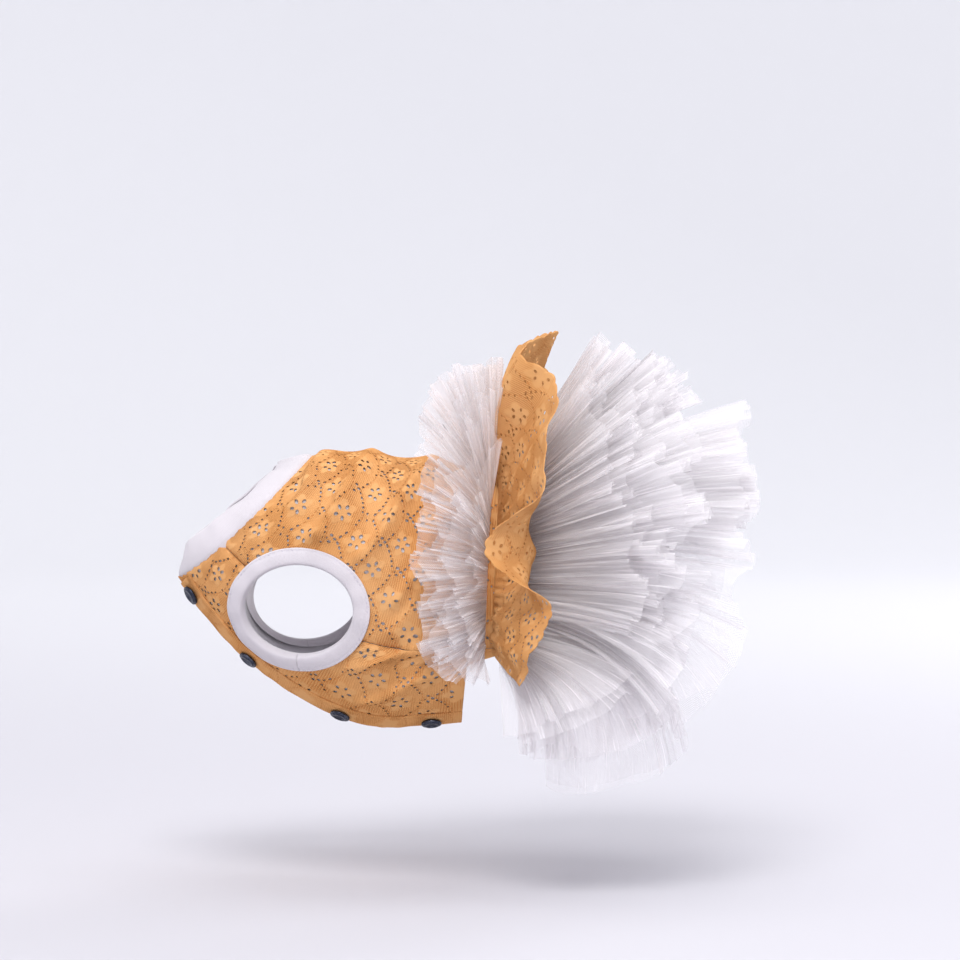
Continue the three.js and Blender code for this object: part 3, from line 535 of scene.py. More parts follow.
def pattern_holes():
    """Holes of one repeat: across, along, half length, half width, and the angle of the length."""
    holes = []
    for shift_across, shift_along in HALF_DROP:
        for petal in range(PETALS):
            angle = math.pi / 2 + 2 * math.pi * petal / PETALS
            across = shift_across + FLOWER_RADIUS * math.cos(angle)
            along = shift_along + FLOWER_RADIUS * math.sin(angle)
            holes.append((across, along, *PETAL_HOLE, angle))
        for step in range(-5, 6):
            across = CHAIN_STEP * step
            along = float(scallop_height(across))
            slope = math.atan(float(scallop_height(across + 0.5) - scallop_height(across - 0.5)))
            size = CHAIN_END_SIZE if abs(step) > 3 else CHAIN_SIZE
            holes.append((shift_across + across, shift_along + along, size, CHAIN_WIDTH, slope))
        tip_along = shift_along + float(scallop_height(CELL_WIDTH / 2))
        for beside, above in TIP_PLACES:
            across = shift_across + CELL_WIDTH / 2 + beside
            holes.append((across, tip_along + above, *TIP_HOLE, math.pi / 2))
    return holes


PATTERN = pattern_holes()
print("holes in a repeat:", len(PATTERN))


# %% Placing holes on a cloth
def stretch_at(point, x, y):
    """How the flat cloth's two directions lie on the body at places: lengths and slant."""
    small = 0.6
    px = (point(x + small, y) - point(x - small, y)) / (2 * small * MM)
    py = (point(x, y + small) - point(x, y - small)) / (2 * small * MM)
    length_x = np.linalg.norm(px, axis=-1)
    slant = (px * py).sum(-1) / length_x
    length_y = np.sqrt(np.maximum((py * py).sum(-1) - slant**2, 1e-6))
    return length_x, slant, length_y


def lies_open(point, x, y):
    """Where the cloth isn't squeezed or skewed too much to show a hole."""
    length_x, slant, length_y = stretch_at(point, x, y)
    return (length_x > 0.6) & (length_y > 0.55) & (np.abs(slant) < 1.3)


def lay_out_holes(point, to_flat, across_range, along_range, keep):
    """Hole outlines on the flat cloth, with their rings, where keep says that there is room."""
    def cells(low, high, size):
        return range(int(low // size) - 1, int(high // size) + 2)

    cells_across = cells(*across_range, CELL_WIDTH)
    cells_along = cells(*along_range, CELL_LENGTH)
    rows = [
        (a + i * CELL_WIDTH, b + j * CELL_LENGTH, long_half, short_half, angle)
        for i in cells_across
        for j in cells_along
        for a, b, long_half, short_half, angle in PATTERN
    ]
    rows = np.array(rows)
    chance = np.random.default_rng(12)
    closed = (rows[:, 2] == CHAIN_SIZE) & (chance.random(len(rows)) < CHAIN_CLOSED)
    rows[:, 2:4] *= chance.uniform(1 - UNEVEN_SIZE, 1 + UNEVEN_SIZE, (len(rows), 1))
    x, y = to_flat(rows[:, 0], rows[:, 1])
    kept = keep(x, y) & ~closed
    rows, x, y = rows[kept], x[kept], y[kept]
    length_x, slant, length_y = stretch_at(point, x, y)
    corner = 2 * np.pi * np.arange(HOLE_CORNERS) / HOLE_CORNERS
    outlines = []
    for extra in (0.0, CORD_WIDTH):
        p = (rows[:, 2, None] + extra) * np.cos(corner)
        q = (rows[:, 3, None] + extra) * np.sin(corner)
        c, s = np.cos(rows[:, 4, None]), np.sin(rows[:, 4, None])
        a, b = p * c - q * s, p * s + q * c
        flat_y = b / length_y[:, None]
        flat_x = (a - slant[:, None] * flat_y) / length_x[:, None]
        outlines.append(np.stack([x[:, None] + flat_x, y[:, None] + flat_y], -1))
    reach = rows[:, 2] + CORD_WIDTH
    return outlines[0], outlines[1], np.stack([x, y], -1), reach / np.minimum(length_x, length_y)


# %% Cutting a cloth
RING_MARK = 0.35  # how far the cord round a hole stands up at its outer ring, where 1 is its crest
HOLE_ROOM = 0.35  # in mm, from a hole's cord to the nearest corner of the plain ground
LONGEST_SIDE = 3  # of a triangle, in spacings: longer ones would span the dips of a curved edge


def cut_cloth(edge, holes, rings, centres, reaches, big_holes, spacing, inside):
    """Triangles of a flat cloth with its holes left out: corners, triangles, and cord marks."""
    points, edges, hole_of, cord = [], [], [], []

    def add_loop(loop, number, mark):
        start = len(points)
        points.extend(loop)
        hole_of.extend([number] * len(loop))
        cord.extend([mark] * len(loop))
        return [(start + i, start + (i + 1) % len(loop)) for i in range(len(loop))]

    edges += add_loop(edge, -1, 0.0)
    for number, loop in enumerate(big_holes):
        edges += add_loop(loop, 1 + number, 0.0)
    first = 1 + len(big_holes)
    for number, loop in enumerate(holes):
        edges += add_loop(loop, first + number, 1.0)
    for loop in rings:
        add_loop(loop, -1, RING_MARK)
    low, high = edge.min(0), edge.max(0)
    xs = np.arange(low[0] + spacing / 2, high[0], spacing)
    ys = np.arange(low[1] + spacing / 2, high[1], spacing * 0.87)
    grid = np.array([(x + (j % 2) * spacing / 2, y) for j, y in enumerate(ys) for x in xs])
    grid = grid[inside(grid[:, 0], grid[:, 1])]
    if len(centres):
        for block in np.array_split(np.arange(len(grid)), 1 + len(grid) // 800):
            gap = np.linalg.norm(grid[block, None] - centres[None], axis=-1) - reaches[None]
            grid[block[(gap < HOLE_ROOM).any(1)]] = np.nan
        grid = grid[~np.isnan(grid[:, 0])]
    points.extend(grid)
    hole_of.extend([-1] * len(grid))
    cord.extend([0.0] * len(grid))
    flat = [Vector((float(p[0]), float(p[1]))) for p in points]
    verts, _, faces, origins, _, _ = geometry.delaunay_2d_cdt(flat, edges, [], 0, 1e-5)
    where = np.array([tuple(v) for v in verts])
    source = np.array([o[0] if o else -1 for o in origins])
    hole_number = np.where(source >= 0, np.array(hole_of)[source], -1)
    mark = np.where(source >= 0, np.array(cord)[source], 0.0)
    faces = np.array(faces)
    n = hole_number[faces]
    in_hole = (n[:, 0] >= 0) & (n[:, 0] == n[:, 1]) & (n[:, 1] == n[:, 2])
    middle = where[faces].mean(1)
    sides = np.linalg.norm(where[faces] - where[np.roll(faces, 1, axis=1)], axis=-1)
    on_cloth = inside(middle[:, 0], middle[:, 1]) & (sides.max(1) < LONGEST_SIDE * spacing)
    faces = faces[~in_hole & on_cloth]
    used, compact = np.unique(faces, return_inverse=True)
    return where[used], compact.reshape(-1, 3), mark[used]


# %% Meshes with the cloth's own coordinates
def mesh_object(name, points, faces, uv, mark=None):
    """A mesh object with a UV map in metres of cloth and, if given, a mark at each corner."""
    data = bpy.data.meshes.new(name)
    data.vertices.add(len(points))
    data.vertices.foreach_set("co", np.ascontiguousarray(points, dtype=np.float32).ravel())
    corners = faces.shape[1]
    data.loops.add(faces.size)
    data.loops.foreach_set("vertex_index", faces.ravel().astype(np.int32))
    data.polygons.add(len(faces))
    data.polygons.foreach_set("loop_start", np.arange(0, faces.size, corners, dtype=np.int32))
    data.polygons.foreach_set("loop_total", np.full(len(faces), corners, dtype=np.int32))
    data.update(calc_edges=True)
    layer = data.uv_layers.new(name="cloth")
    layer.data.foreach_set("uv", np.ascontiguousarray(uv[faces.ravel()], dtype=np.float32).ravel())
    if mark is not None:
        attribute = data.attributes.new("mark", "FLOAT", "POINT")
        attribute.data.foreach_set("value", np.ascontiguousarray(mark, dtype=np.float32))
    data.validate()
    data.shade_smooth()
    piece = bpy.data.objects.new(name, data)
    bpy.context.collection.objects.link(piece)
    return piece


# %% Sides and walls
def face_out(piece, out_hint):
    """Turns a sheet's faces to the side that out_hint points to, on average."""
    faces = piece.data.polygons
    normals, centres = np.empty((2, 3 * len(faces)))
    faces.foreach_get("normal", normals)
    faces.foreach_get("center", centres)
    agree = (normals.reshape(-1, 3) * out_hint(centres.reshape(-1, 3))).sum()
    if agree < 0:
        piece.data.flip_normals()


def thicken(piece, wall):
    """Gives a sheet a wall, inwards from its outer face."""
    solid = piece.modifiers.new("wall", "SOLIDIFY")
    solid.thickness = wall
    solid.offset = -1


# %% [markdown]
# ## Lace
# The yarn is matt and a little hairy, in a warm orange. Between the holes the ground is knitted
# in fine ribs that run round the body, with painted shade in the valleys between them; the
# flowers have smooth raised petals, and a dark line follows each scallop. All of it comes from
# the cloth's own flat coordinates, so it bends and stretches with the cloth.

# %% Lace finish
LACE_ORANGE = linear(221, 166, 110)
LACE_SHADE = linear(213, 153, 94)
# LACE_DEEP serves two things: the scallops' dark line, and the painted shade in the valleys between the
# ribs
LACE_DEEP = linear(188, 104, 46)
LACE_PALE = linear(234, 190, 138)
RIB_PITCH = 1.05  # in mm, as the next three are
STITCH_PITCH = 0.8 * RIB_PITCH
DASH_PITCH = 2.1  # of the broken line beside each scallop
PETAL_REACH, PETAL_WAVE = 5.6, -1.1


# %% Petals and lines
def repeat_distance(tree, value, period, shift):
    """The signed distance in mm to the nearest repeat of a place."""
    moved = maths(tree, "ADD", value, period / 2 - shift)
    return maths(tree, "SUBTRACT", maths(tree, "FLOORED_MODULO", moved, period), period / 2)


def ripple(tree, value, pitch, function="SINE"):
    """A sine or cosine of a length whose waves are one pitch long."""
    return maths(tree, function, maths(tree, "MULTIPLY", value, 2 * math.pi / pitch))


def petals_and_lines(tree, across, along):
    """Where the flowers' petals and the scallops' lines lie, each from 0 to 1."""
    petals = lines = 0.0
    for shift_across, shift_along in HALF_DROP:
        dx = repeat_distance(tree, across, CELL_WIDTH, shift_across)
        dy = repeat_distance(tree, along, CELL_LENGTH, shift_along)
        squares = [maths(tree, "POWER", value, 2.0) for value in (dx, dy)]
        radius = maths(tree, "SQRT", maths(tree, "ADD", *squares))
        angle = maths(tree, "ARCTAN2", dx, dy)
        lobes = maths(tree, "COSINE", maths(tree, "MULTIPLY", angle, PETALS))
        edge = maths(tree, "MULTIPLY_ADD", lobes, PETAL_WAVE, PETAL_REACH)
        petal = ramp(tree, maths(tree, "SUBTRACT", edge, radius), -0.7, 0.9)
        petals = maths(tree, "MAXIMUM", petals, petal)
        arch = maths(tree, "ABSOLUTE", ripple(tree, dx, 2 * CELL_WIDTH, "COSINE"))
        height = maths(tree, "MULTIPLY_ADD", arch, 2 * SCALLOP_RISE, CELL_LENGTH / 4 - SCALLOP_RISE)
        past = maths(tree, "SUBTRACT", maths(tree, "SUBTRACT", along, height), 0.9)
        off = repeat_distance(tree, past, CELL_LENGTH, shift_along)
        line = ramp(tree, maths(tree, "ABSOLUTE", off), 0.15, 0.55, 1.0, 0.0)
        lines = maths(tree, "MAXIMUM", lines, line)
    dashes = ramp(tree, ripple(tree, across, DASH_PITCH), -0.5, 0.1)
    return petals, maths(tree, "MULTIPLY", lines, dashes)


# %% The lace's material
def make_lace_finish(name):
    """The finish of the lace."""
    material, tree, output = new_material(name)
    across, along = cloth_millimetres(tree)
    place = object_place(tree)
    petals, lines = petals_and_lines(tree, across, along)
    ribs = ripple(tree, along, RIB_PITCH)
    stitches = ripple(tree, across, STITCH_PITCH)
    patch = ramp(tree, noise(tree, place, 55, 1.0), 0.38, 0.62, 0.35, 1.0)
    ground = maths(tree, "MULTIPLY", maths(tree, "SUBTRACT", 1.0, petals), patch)
    knit = maths(tree, "MULTIPLY_ADD", stitches, 0.3, ribs)
    height = maths(tree, "MULTIPLY", knit, maths(tree, "MULTIPLY", ground, 0.4))
    height = maths(tree, "MULTIPLY_ADD", petals, 0.4, height)
    height = maths(tree, "MULTIPLY_ADD", lines, -0.5, height)
    cord = tree.nodes.new("ShaderNodeAttribute")
    cord.attribute_name = "mark"
    height = maths(tree, "MULTIPLY_ADD", cord.outputs["Fac"], 0.8, height)
    fuzz = noise(tree, place, 2600, 3.0)
    height = maths(tree, "MULTIPLY_ADD", fuzz, 0.5, height)
    blotches = ramp(tree, noise(tree, place, 26, 3.0), 0.3, 0.7)
    colour = blend_colours(tree, blotches, LACE_ORANGE, LACE_SHADE)
    # Painted shade: the ground is darkened towards LACE_DEEP in the valleys between the ribs
    painted_rib_shade = maths(tree, "MULTIPLY", ramp(tree, ribs, -1.0, 0.1, 0.55, 0.0), ground)
    colour = blend_colours(tree, painted_rib_shade, colour, LACE_DEEP)
    colour = blend_colours(tree, maths(tree, "MULTIPLY", petals, 0.14), colour, LACE_PALE)
    colour = blend_colours(tree, maths(tree, "MULTIPLY", lines, 0.4), colour, LACE_DEEP)
    shader = tree.nodes.new("ShaderNodeBsdfPrincipled")
    tree.links.new(colour, shader.inputs["Base Color"])
    shader.inputs["Roughness"].default_value = 0.82
    shader.inputs["Specular IOR Level"].default_value = 0.0
    tree.links.new(bump(tree, height, 0.35 * MM), shader.inputs["Normal"])
    tree.links.new(shader.outputs[0], output.inputs["Surface"])
    return material


lace_finish = make_lace_finish("lace_orange")

# %% [markdown]
# ## The bodice's panels
# One lace panel covers the back and sides, and another the chest and belly. They meet in a seam
# at each side, which is drawn in a little, so a crease shows there. The flat cloth's width is
# the length of the arc round the body, measured from the panel's middle.

# %% Flat cloth on the body
MM_PER_DEGREE = 0.92  # of the flat cloth, for the triangles only
FLAT_LENGTH = 140.0
PANEL_SPACING = 1.9
SEAM_DRAW = 1.2 * MM


def panel_place(middle_turn, x, y):
    """The place on the body of a point of the flat cloth."""
    turn = middle_turn + x / MM_PER_DEGREE
    start, end = neck_edge(turn), rear_edge(turn)
    return start + (end - start) * y / FLAT_LENGTH, turn


def side_seam_draw(turn, reach):
    """How far the side seams draw the cloth in. reach is in degrees to each side."""
    from_seam = np.abs(from_back(turn) - SEAM_TURN)
    return -SEAM_DRAW * np.exp(-((from_seam / reach) ** 2))


def lace_point(middle_turn):
    """A function from flat cloth to the lace's outer face."""
    def point(x, y):
        at, turn = panel_place(middle_turn, x, y)
        lift = LACE_LIFT + 0.3 * MM + fold_lift(at, turn) + side_seam_draw(turn, 1.8)
        return body_point(at, turn, lift)

    return point


# %% Lengths along the cloth
def arc_table(middle_turn, half_turn):
    """Arc lengths in mm from the panel's middle, at rows down the body and at turns."""
    rows = np.linspace(0, FLAT_LENGTH, 41)
    offsets = np.linspace(-half_turn, half_turn, 241)
    x, y = np.meshgrid(offsets * MM_PER_DEGREE, rows)
    points = body_base(*panel_place(middle_turn, x, y))
    steps = np.linalg.norm(np.diff(points, axis=1), axis=-1) / MM
    arcs = np.concatenate([np.zeros((len(rows), 1)), np.cumsum(steps, axis=1)], axis=1)
    return rows, offsets, arcs - arcs[:, [len(offsets) // 2]]


def pattern_sway(across, along):
    """How far the knitted pattern strays from straight lines, in mm."""
    return 1.5 * np.sin(along / 17 + across / 31), 1.3 * np.sin(across / 23 - along / 19)


def arc_maps(middle_turn, half_turn):
    """Functions from the pattern's coordinates to the flat cloth and back."""
    rows, offsets, arcs = arc_table(middle_turn, half_turn)

    def to_flat(pattern_across, pattern_along):
        across, along = pattern_across, pattern_along
        for _ in range(5):
            sway_across, sway_along = pattern_sway(across, along)
            across, along = pattern_across - sway_across, pattern_along - sway_along
        row = np.clip(along / FLAT_LENGTH * (len(rows) - 1), 0, len(rows) - 1.001)
        low = row.astype(int)
        share = row - low
        x = np.empty_like(across)
        for i, (arc, k, t) in enumerate(zip(across, low, share)):
            line = arcs[k] * (1 - t) + arcs[k + 1] * t
            inside = line[0] <= arc <= line[-1]
            x[i] = np.interp(arc, line, offsets) * MM_PER_DEGREE if inside else np.nan
        return x, along

    def from_flat(x, y):
        row = np.clip(y / FLAT_LENGTH * (len(rows) - 1), 0, len(rows) - 1.001)
        low = row.astype(int)
        share = row - low
        offset = x / MM_PER_DEGREE
        out = np.empty_like(x)
        for i, (value, k, t) in enumerate(zip(offset, low, share)):
            out[i] = np.interp(value, offsets, arcs[k] * (1 - t) + arcs[k + 1] * t)
        sway_across, sway_along = pattern_sway(out, y)
        return out + sway_across, y + sway_along

    return to_flat, from_flat


# %% Making a panel
def raw_edge(x):
    """The lace's cut edge at the neck: a little past the seam, and uneven."""
    return -1.3 + 0.45 * np.sin(0.83 * x) + 0.3 * np.sin(2.1 * x + 1) + 0.2 * np.sin(0.21 * x)


def seam_edge(x):
    """A straight edge along the neck seam."""
    return 0.0 * x


def panel_outline(half_width, length, step, low_edge):
    """The corners of a panel's edge, close enough together to bend."""
    across = np.linspace(-half_width, half_width, int(2 * half_width / step) + 1)
    share = np.linspace(0, 1, int(length / step) + 1)
    low_right, low_left = low_edge(half_width), low_edge(-half_width)
    bottom = [(x, low_edge(x)) for x in across[:-1]]
    right = [(half_width, low_right + (length - low_right) * t) for t in share[:-1]]
    top = [(x, length) for x in across[:0:-1]]
    left = [(-half_width, low_left + (length - low_left) * t) for t in share[:0:-1]]
    return np.array(bottom + right + top + left)


# %% Leg holes in the flat cloth
def flat_leg_holes(middle_turn, grow):
    """The leg holes on a panel's flat cloth, both sides."""
    at, turn = grown_rim(64, grow)
    loops = []
    for side in (1, -1):
        turned = (side * turn - middle_turn + 180) % 360 - 180
        start, end = neck_edge(turned + middle_turn), rear_edge(turned + middle_turn)
        loops.append(np.stack([turned * MM_PER_DEGREE, (at - start) / (end - start) * FLAT_LENGTH], -1))
    return loops


def polygon_contains(loop, x, y):
    """Which points lie inside a closed outline."""
    inside = np.zeros(np.shape(x), bool)
    for (x1, y1), (x2, y2) in zip(loop, np.roll(loop, -1, axis=0)):
        crosses = (y1 > y) != (y2 > y)
        if y1 != y2:
            inside ^= crosses & (x < (x2 - x1) * (y - y1) / (y2 - y1) + x1)
    return inside


def leg_hole_gap(loops, x, y):
    """Distances of points from the leg holes' outlines, in flat mm, with the insides below 0."""
    gap = np.full(np.shape(x), 1e3)
    for loop in loops:
        distance = np.min(np.hypot(x[..., None] - loop[:, 0], y[..., None] - loop[:, 1]), axis=-1)
        gap = np.minimum(gap, np.where(polygon_contains(loop, x, y), -distance, distance))
    return gap


# %% One panel
def make_panel(name, middle_turn, half_turn, point, spacing, low_edge, with_pattern):
    """A panel of the bodice as a cut and placed mesh, with its faces to the outside."""
    half_width = half_turn * MM_PER_DEGREE
    legs = flat_leg_holes(middle_turn, BINDING_WALL + 1.0 * MM)
    to_flat, from_flat = arc_maps(middle_turn, half_turn)

    def keep(x, y):
        on_panel = np.isfinite(x)
        x = np.where(on_panel, x, 1e3)
        on_panel &= (np.abs(x) < half_width - 2.0) & (y > 1.8) & (y < FLAT_LENGTH - 2.4)
        on_panel &= leg_hole_gap(legs, x, y) > 2.6
        on_panel[on_panel] = lies_open(point, x[on_panel], y[on_panel])
        return on_panel

    def inside(x, y):
        on_cloth = (np.abs(x) < half_width) & (y > low_edge(x)) & (y < FLAT_LENGTH)
        return on_cloth & (leg_hole_gap(legs, x, y) > 0.0)

    layout = ([], [], [], [])
    if with_pattern:
        layout = lay_out_holes(point, to_flat, (-150, 150), (0, FLAT_LENGTH), keep)
    edge = panel_outline(half_width, FLAT_LENGTH, min(spacing, 1.0), low_edge)
    flat, faces, cord = cut_cloth(edge, *layout, legs, spacing, inside)
    across, along = from_flat(flat[:, 0], flat[:, 1])
    uv = np.stack([across, along], -1) * MM
    piece = mesh_object(name, point(flat[:, 0], flat[:, 1]), faces, uv, cord)
    face_out(piece, lambda centres: centres - np.array([0, 0, 0.01]))
    print(name, "triangles:", len(faces), "holes:", len(layout[0]))
    return piece


def sheet_area(piece):
    """The area of a mesh before its modifiers, in square metres."""
    return sum(face.area for face in piece.data.polygons)


# %% Lace panels
SEAM_GAP = 0.12  # degrees of turn between the two panels at a side seam
LACE_WALL = 0.4 * MM

half_back = SEAM_TURN - SEAM_GAP
half_belly = 180 - SEAM_TURN - SEAM_GAP
back_lace = make_panel("lace_back", 0, half_back, lace_point(0), PANEL_SPACING, raw_edge, True)
belly_lace = make_panel("lace_belly", 180, half_belly, lace_point(180), PANEL_SPACING, raw_edge, True)
panels = ((back_lace, "back_lace", (0.22, 0.15)), (belly_lace, "belly_lace", (0.14, 0.17)))
for panel, node, flat in panels:
    thicken(panel, LACE_WALL)
    panel.data.materials.append(lace_finish)
    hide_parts(node)
    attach(panel, "root")
    print(panel.name, "area in square metres:", round(sheet_area(panel), 4))

# %% [markdown]
# ## Lining
# The lining is a plain white jersey knit, one whole tube that shows through every hole of the
# lace and on the inside. It is cut as the lace is, without the holes, and its two edges are
# joined under the belly.


# %% Knit finish
def darker(colour, share):
    """A colour with a share of its light."""
    return (*(share * value for value in colour[:3]), 1.0)


def make_knit_finish(name, colour, wale_pitch):
    """A fine jersey: columns of small V stitches, which are a slanted sine each side of a wale."""
    material, tree, output = new_material(name)
    across, along = cloth_millimetres(tree)
    place = object_place(tree)
    v_shape = maths(tree, "ABSOLUTE", ripple(tree, across, 2 * wale_pitch))
    rows = maths(tree, "MULTIPLY", along, 2 * math.pi / (0.8 * wale_pitch))
    course = maths(tree, "MULTIPLY_ADD", v_shape, 2.2, rows)
    wales = ripple(tree, across, wale_pitch, "COSINE")
    stitch = maths(tree, "MULTIPLY_ADD", maths(tree, "SINE", course), 0.5, wales)
    knit = maths(tree, "MULTIPLY", stitch, 0.35)
    height = maths(tree, "MULTIPLY_ADD", noise(tree, place, 1800, 3.0), 1.2, knit)
    blotches = ramp(tree, noise(tree, place, 38, 3.0), 0.3, 0.7)
    shade = blend_colours(tree, blotches, colour, darker(colour, 0.93))
    shader = tree.nodes.new("ShaderNodeBsdfPrincipled")
    tree.links.new(shade, shader.inputs["Base Color"])
    shader.inputs["Roughness"].default_value = 0.88
    shader.inputs["Specular IOR Level"].default_value = 0.2
    shader.inputs["Sheen Weight"].default_value = 0.3
    shader.inputs["Sheen Roughness"].default_value = 0.5
    tree.links.new(bump(tree, height, 0.13 * MM), shader.inputs["Normal"])
    tree.links.new(shader.outputs[0], output.inputs["Surface"])
    return material


knit_finish = make_knit_finish("knit_white", linear(216, 210, 215), 0.62)
lining_finish = make_knit_finish("knit_lining", linear(218, 214, 219), 0.9)


# %% Lining piece
def lining_point(x, y):
    """The lining's outer face, which follows the lace's folds close behind it."""
    at, turn = panel_place(0, x, y)
    return body_point(at, turn, 0.95 * MM + 0.92 * fold_lift(at, turn) + 1.4 * side_seam_draw(turn, 4.5))


lining = make_panel("lining_tube", 0, 180, lining_point, 2.6, seam_edge, False)
weld = bmesh.new()
weld.from_mesh(lining.data)
bmesh.ops.remove_doubles(weld, verts=weld.verts, dist=0.2 * MM)
weld.to_mesh(lining.data)
weld.free()
thicken(lining, 0.8 * MM)
lining.data.materials.append(lining_finish)
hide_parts("lining")
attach(lining, "root")
print("lining's area in square metres:", round(sheet_area(lining), 4))

# %% [markdown]
# ## Neckband and bindings
# The neckband is a doubled strip of the same knit. It stands up from the neck seam and leans in
# a little, with a soft fold for its upper edge. The bindings are strips folded over the leg
# holes' edges. Both are rings with a rounded section, and small random waves in them keep them
# from looking moulded. A ring of stitches is made of real threads, which sink into the knit.

# %% Grids of points as meshes
def grid_faces(n, m, is_round=False):
    """The quads of a grid of n by m corners, which may close on itself along the first way."""
    i, j = np.meshgrid(np.arange(n if is_round else n - 1), np.arange(m - 1), indexing="ij")
    i, j = i.ravel(), j.ravel()
    after = (i + 1) % n
    return np.stack([i * m + j, after * m + j, after * m + j + 1, i * m + j + 1], -1)


def grid_object(name, points, uv, is_round=False):
    """A mesh of quads through a grid of points."""
    faces = grid_faces(*points.shape[:2], is_round)
    return mesh_object(name, points.reshape(-1, 3), faces, uv.reshape(-1, 2))


def wander(seed, count, waves):
    """A smooth random line that joins up with itself, about 0, of size about 1."""
    chance = np.random.default_rng(seed)
    angle = 2 * np.pi * np.arange(count) / count
    line = np.zeros(count)
    for wave in range(1, waves + 1):
        line += chance.normal() * np.cos(wave * angle + chance.uniform(0, 2 * np.pi))
    return line / math.sqrt(waves / 2)


def spread_over(values, count):
    """A closed row of values read at more places."""
    places = np.linspace(0, len(values), count, endpoint=False)
    return np.interp(places, np.arange(len(values) + 1), np.append(values, values[0]))


# %% Neckband
COLLAR_HEIGHT = 17 * MM
COLLAR_GAP = 1 * MM
COLLAR_WALL = 2.2 * MM
COLLAR_LEAN = 30.0  # the least that it leans in, in degrees
COLLAR_END_LEAN = 62.0  # its lean at the nape and at the throat
COLLAR_POWER = 1.5
COLLAR_THROAT_POWER = 8  # how narrow the place is where it leans in at the throat
COLLAR_SEAT = 0.825 * MM  # the band's middle, out from the lining's
BAND_WAVE, EDGE_WAVE = 0.22 * MM, 0.4 * MM  # how uneven its sides and its upper edge are
BAND_STATIONS = 260
PROFILE_READS = 4  # places read between two rows of a profile
BAND_PROFILE = [
    {"step": 0, "height": -0.16, "wall": 0.08},
    {"step": 1, "height": -0.08, "wall": 0.12},
    {"step": 2, "height": 0.04, "wall": 0.16},
    {"step": 3, "height": 0.12, "wall": 0.3},
    {"step": 4, "height": 0.3, "wall": 0.44},
    {"step": 5, "height": 0.6, "wall": 0.52},
    {"step": 6, "height": 0.88, "wall": 0.5},
    {"step": 7, "height": 0.98, "wall": 0.3},
    {"step": 8, "height": 1.01, "wall": 0.0},
    {"step": 9, "height": 0.98, "wall": -0.3},
    {"step": 10, "height": 0.86, "wall": -0.48},
    {"step": 11, "height": 0.4, "wall": -0.48},
    {"step": 12, "height": 0.0, "wall": -0.5},
]


# %% Making the neckband
def profile_steps(profile):
    """Even steps through a profile's rows."""
    last = profile[-1]["step"]
    return np.linspace(0, last, PROFILE_READS * last + 1)


def make_neckband():
    """The neckband as a ring of rounded sections, tucked under the lace's edge."""
    turn = np.linspace(0, 360, BAND_STATIONS, endpoint=False)
    step = profile_steps(BAND_PROFILE)
    turns, heights = np.meshgrid(turn, read_column(BAND_PROFILE, "step", step, "height"), indexing="ij")
    walls = np.broadcast_to(read_column(BAND_PROFILE, "step", step, "wall"), turns.shape)
    rise = (SECTIONS[0]["back_z"] - SECTIONS[0]["belly_z"]) * CHEST_DEPTH
    run = (SECTIONS[0]["back_x"] - SECTIONS[0]["belly_x"]) * TORSO_LENGTH
    to_head = unit(np.array([-rise, 0.0, run]))
    out = body_frame(neck_edge(turns), turns)[0]
    square = unit(out - (out @ to_head)[..., None] * to_head)
    nape = (1 + np.cos(np.radians(turns))) / 2
    throat = (1 - nape) ** COLLAR_THROAT_POWER
    lean = np.radians(COLLAR_LEAN + (COLLAR_END_LEAN - COLLAR_LEAN) * (nape + throat))
    above = np.clip(heights, 0, 1)
    slope = COLLAR_POWER * np.sin(lean) * above ** (COLLAR_POWER - 1)
    across = unit(square * np.cos(lean)[..., None] + to_head * slope[..., None])
    across = unit(out * (1 - above)[..., None] + across * above[..., None])
    wave = spread_over(wander(3, 240, 26), BAND_STATIONS)[:, None] * BAND_WAVE * above
    edge_wave = spread_over(wander(4, 240, 14), BAND_STATIONS)[:, None] * EDGE_WAVE * above**2
    up = COLLAR_GAP + COLLAR_HEIGHT * np.cos(lean) * heights + edge_wave
    inwards = COLLAR_HEIGHT * np.sin(lean) * above**COLLAR_POWER
    points = body_point(neck_edge(turns), turns, np.full_like(turns, COLLAR_SEAT))
    points = points + to_head * up[..., None] - square * inwards[..., None]
    points = points + across * (walls * COLLAR_WALL + wave)[..., None]
    uv = np.stack([np.radians(turns) * 40 * MM, np.abs(heights) * COLLAR_HEIGHT], -1)
    band = grid_object("neckband", points, uv, is_round=True)
    face_out(band, lambda centres: centres - np.array([-0.08, 0, 0.04]))
    return band


neckband = make_neckband()
neckband.data.materials.append(knit_finish)
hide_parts("collar")
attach(neckband, "root")
print("neckband's area in square metres:", round(sheet_area(neckband), 4))

# %% Bindings
BINDING_STATIONS = 260
BINDING_WAVE = 0.16 * MM
STITCH_GROW = 7.3 * MM  # the row of stitches, out from the rim
STITCH_LIFT = 3.3 * MM  # and out from the lining's middle
STITCH_LENGTH = 1.5 * MM
STITCH_COUNT = 84
THREAD_RADIUS = 0.17 * MM
BINDING_PROFILE = [
    {"step": 0, "grow": 5.4, "lift": -1.9},
    {"step": 1, "grow": 3.2, "lift": -2.4},
    {"step": 2, "grow": 1.2, "lift": -2.3},
    {"step": 3, "grow": 0.25, "lift": -1.2},
    {"step": 4, "grow": 0.0, "lift": 0.6},
    {"step": 5, "grow": 0.2, "lift": 2.5},
    {"step": 6, "grow": 0.9, "lift": 3.45},
    {"step": 7, "grow": 2.6, "lift": 3.8},
    {"step": 8, "grow": 5.0, "lift": 3.75},
    {"step": 9, "grow": 7.0, "lift": 3.5},
    {"step": 10, "grow": 8.0, "lift": 3.45},
    {"step": 11, "grow": 8.6, "lift": 3.1},
    {"step": 12, "grow": 8.7, "lift": 2.3},
]


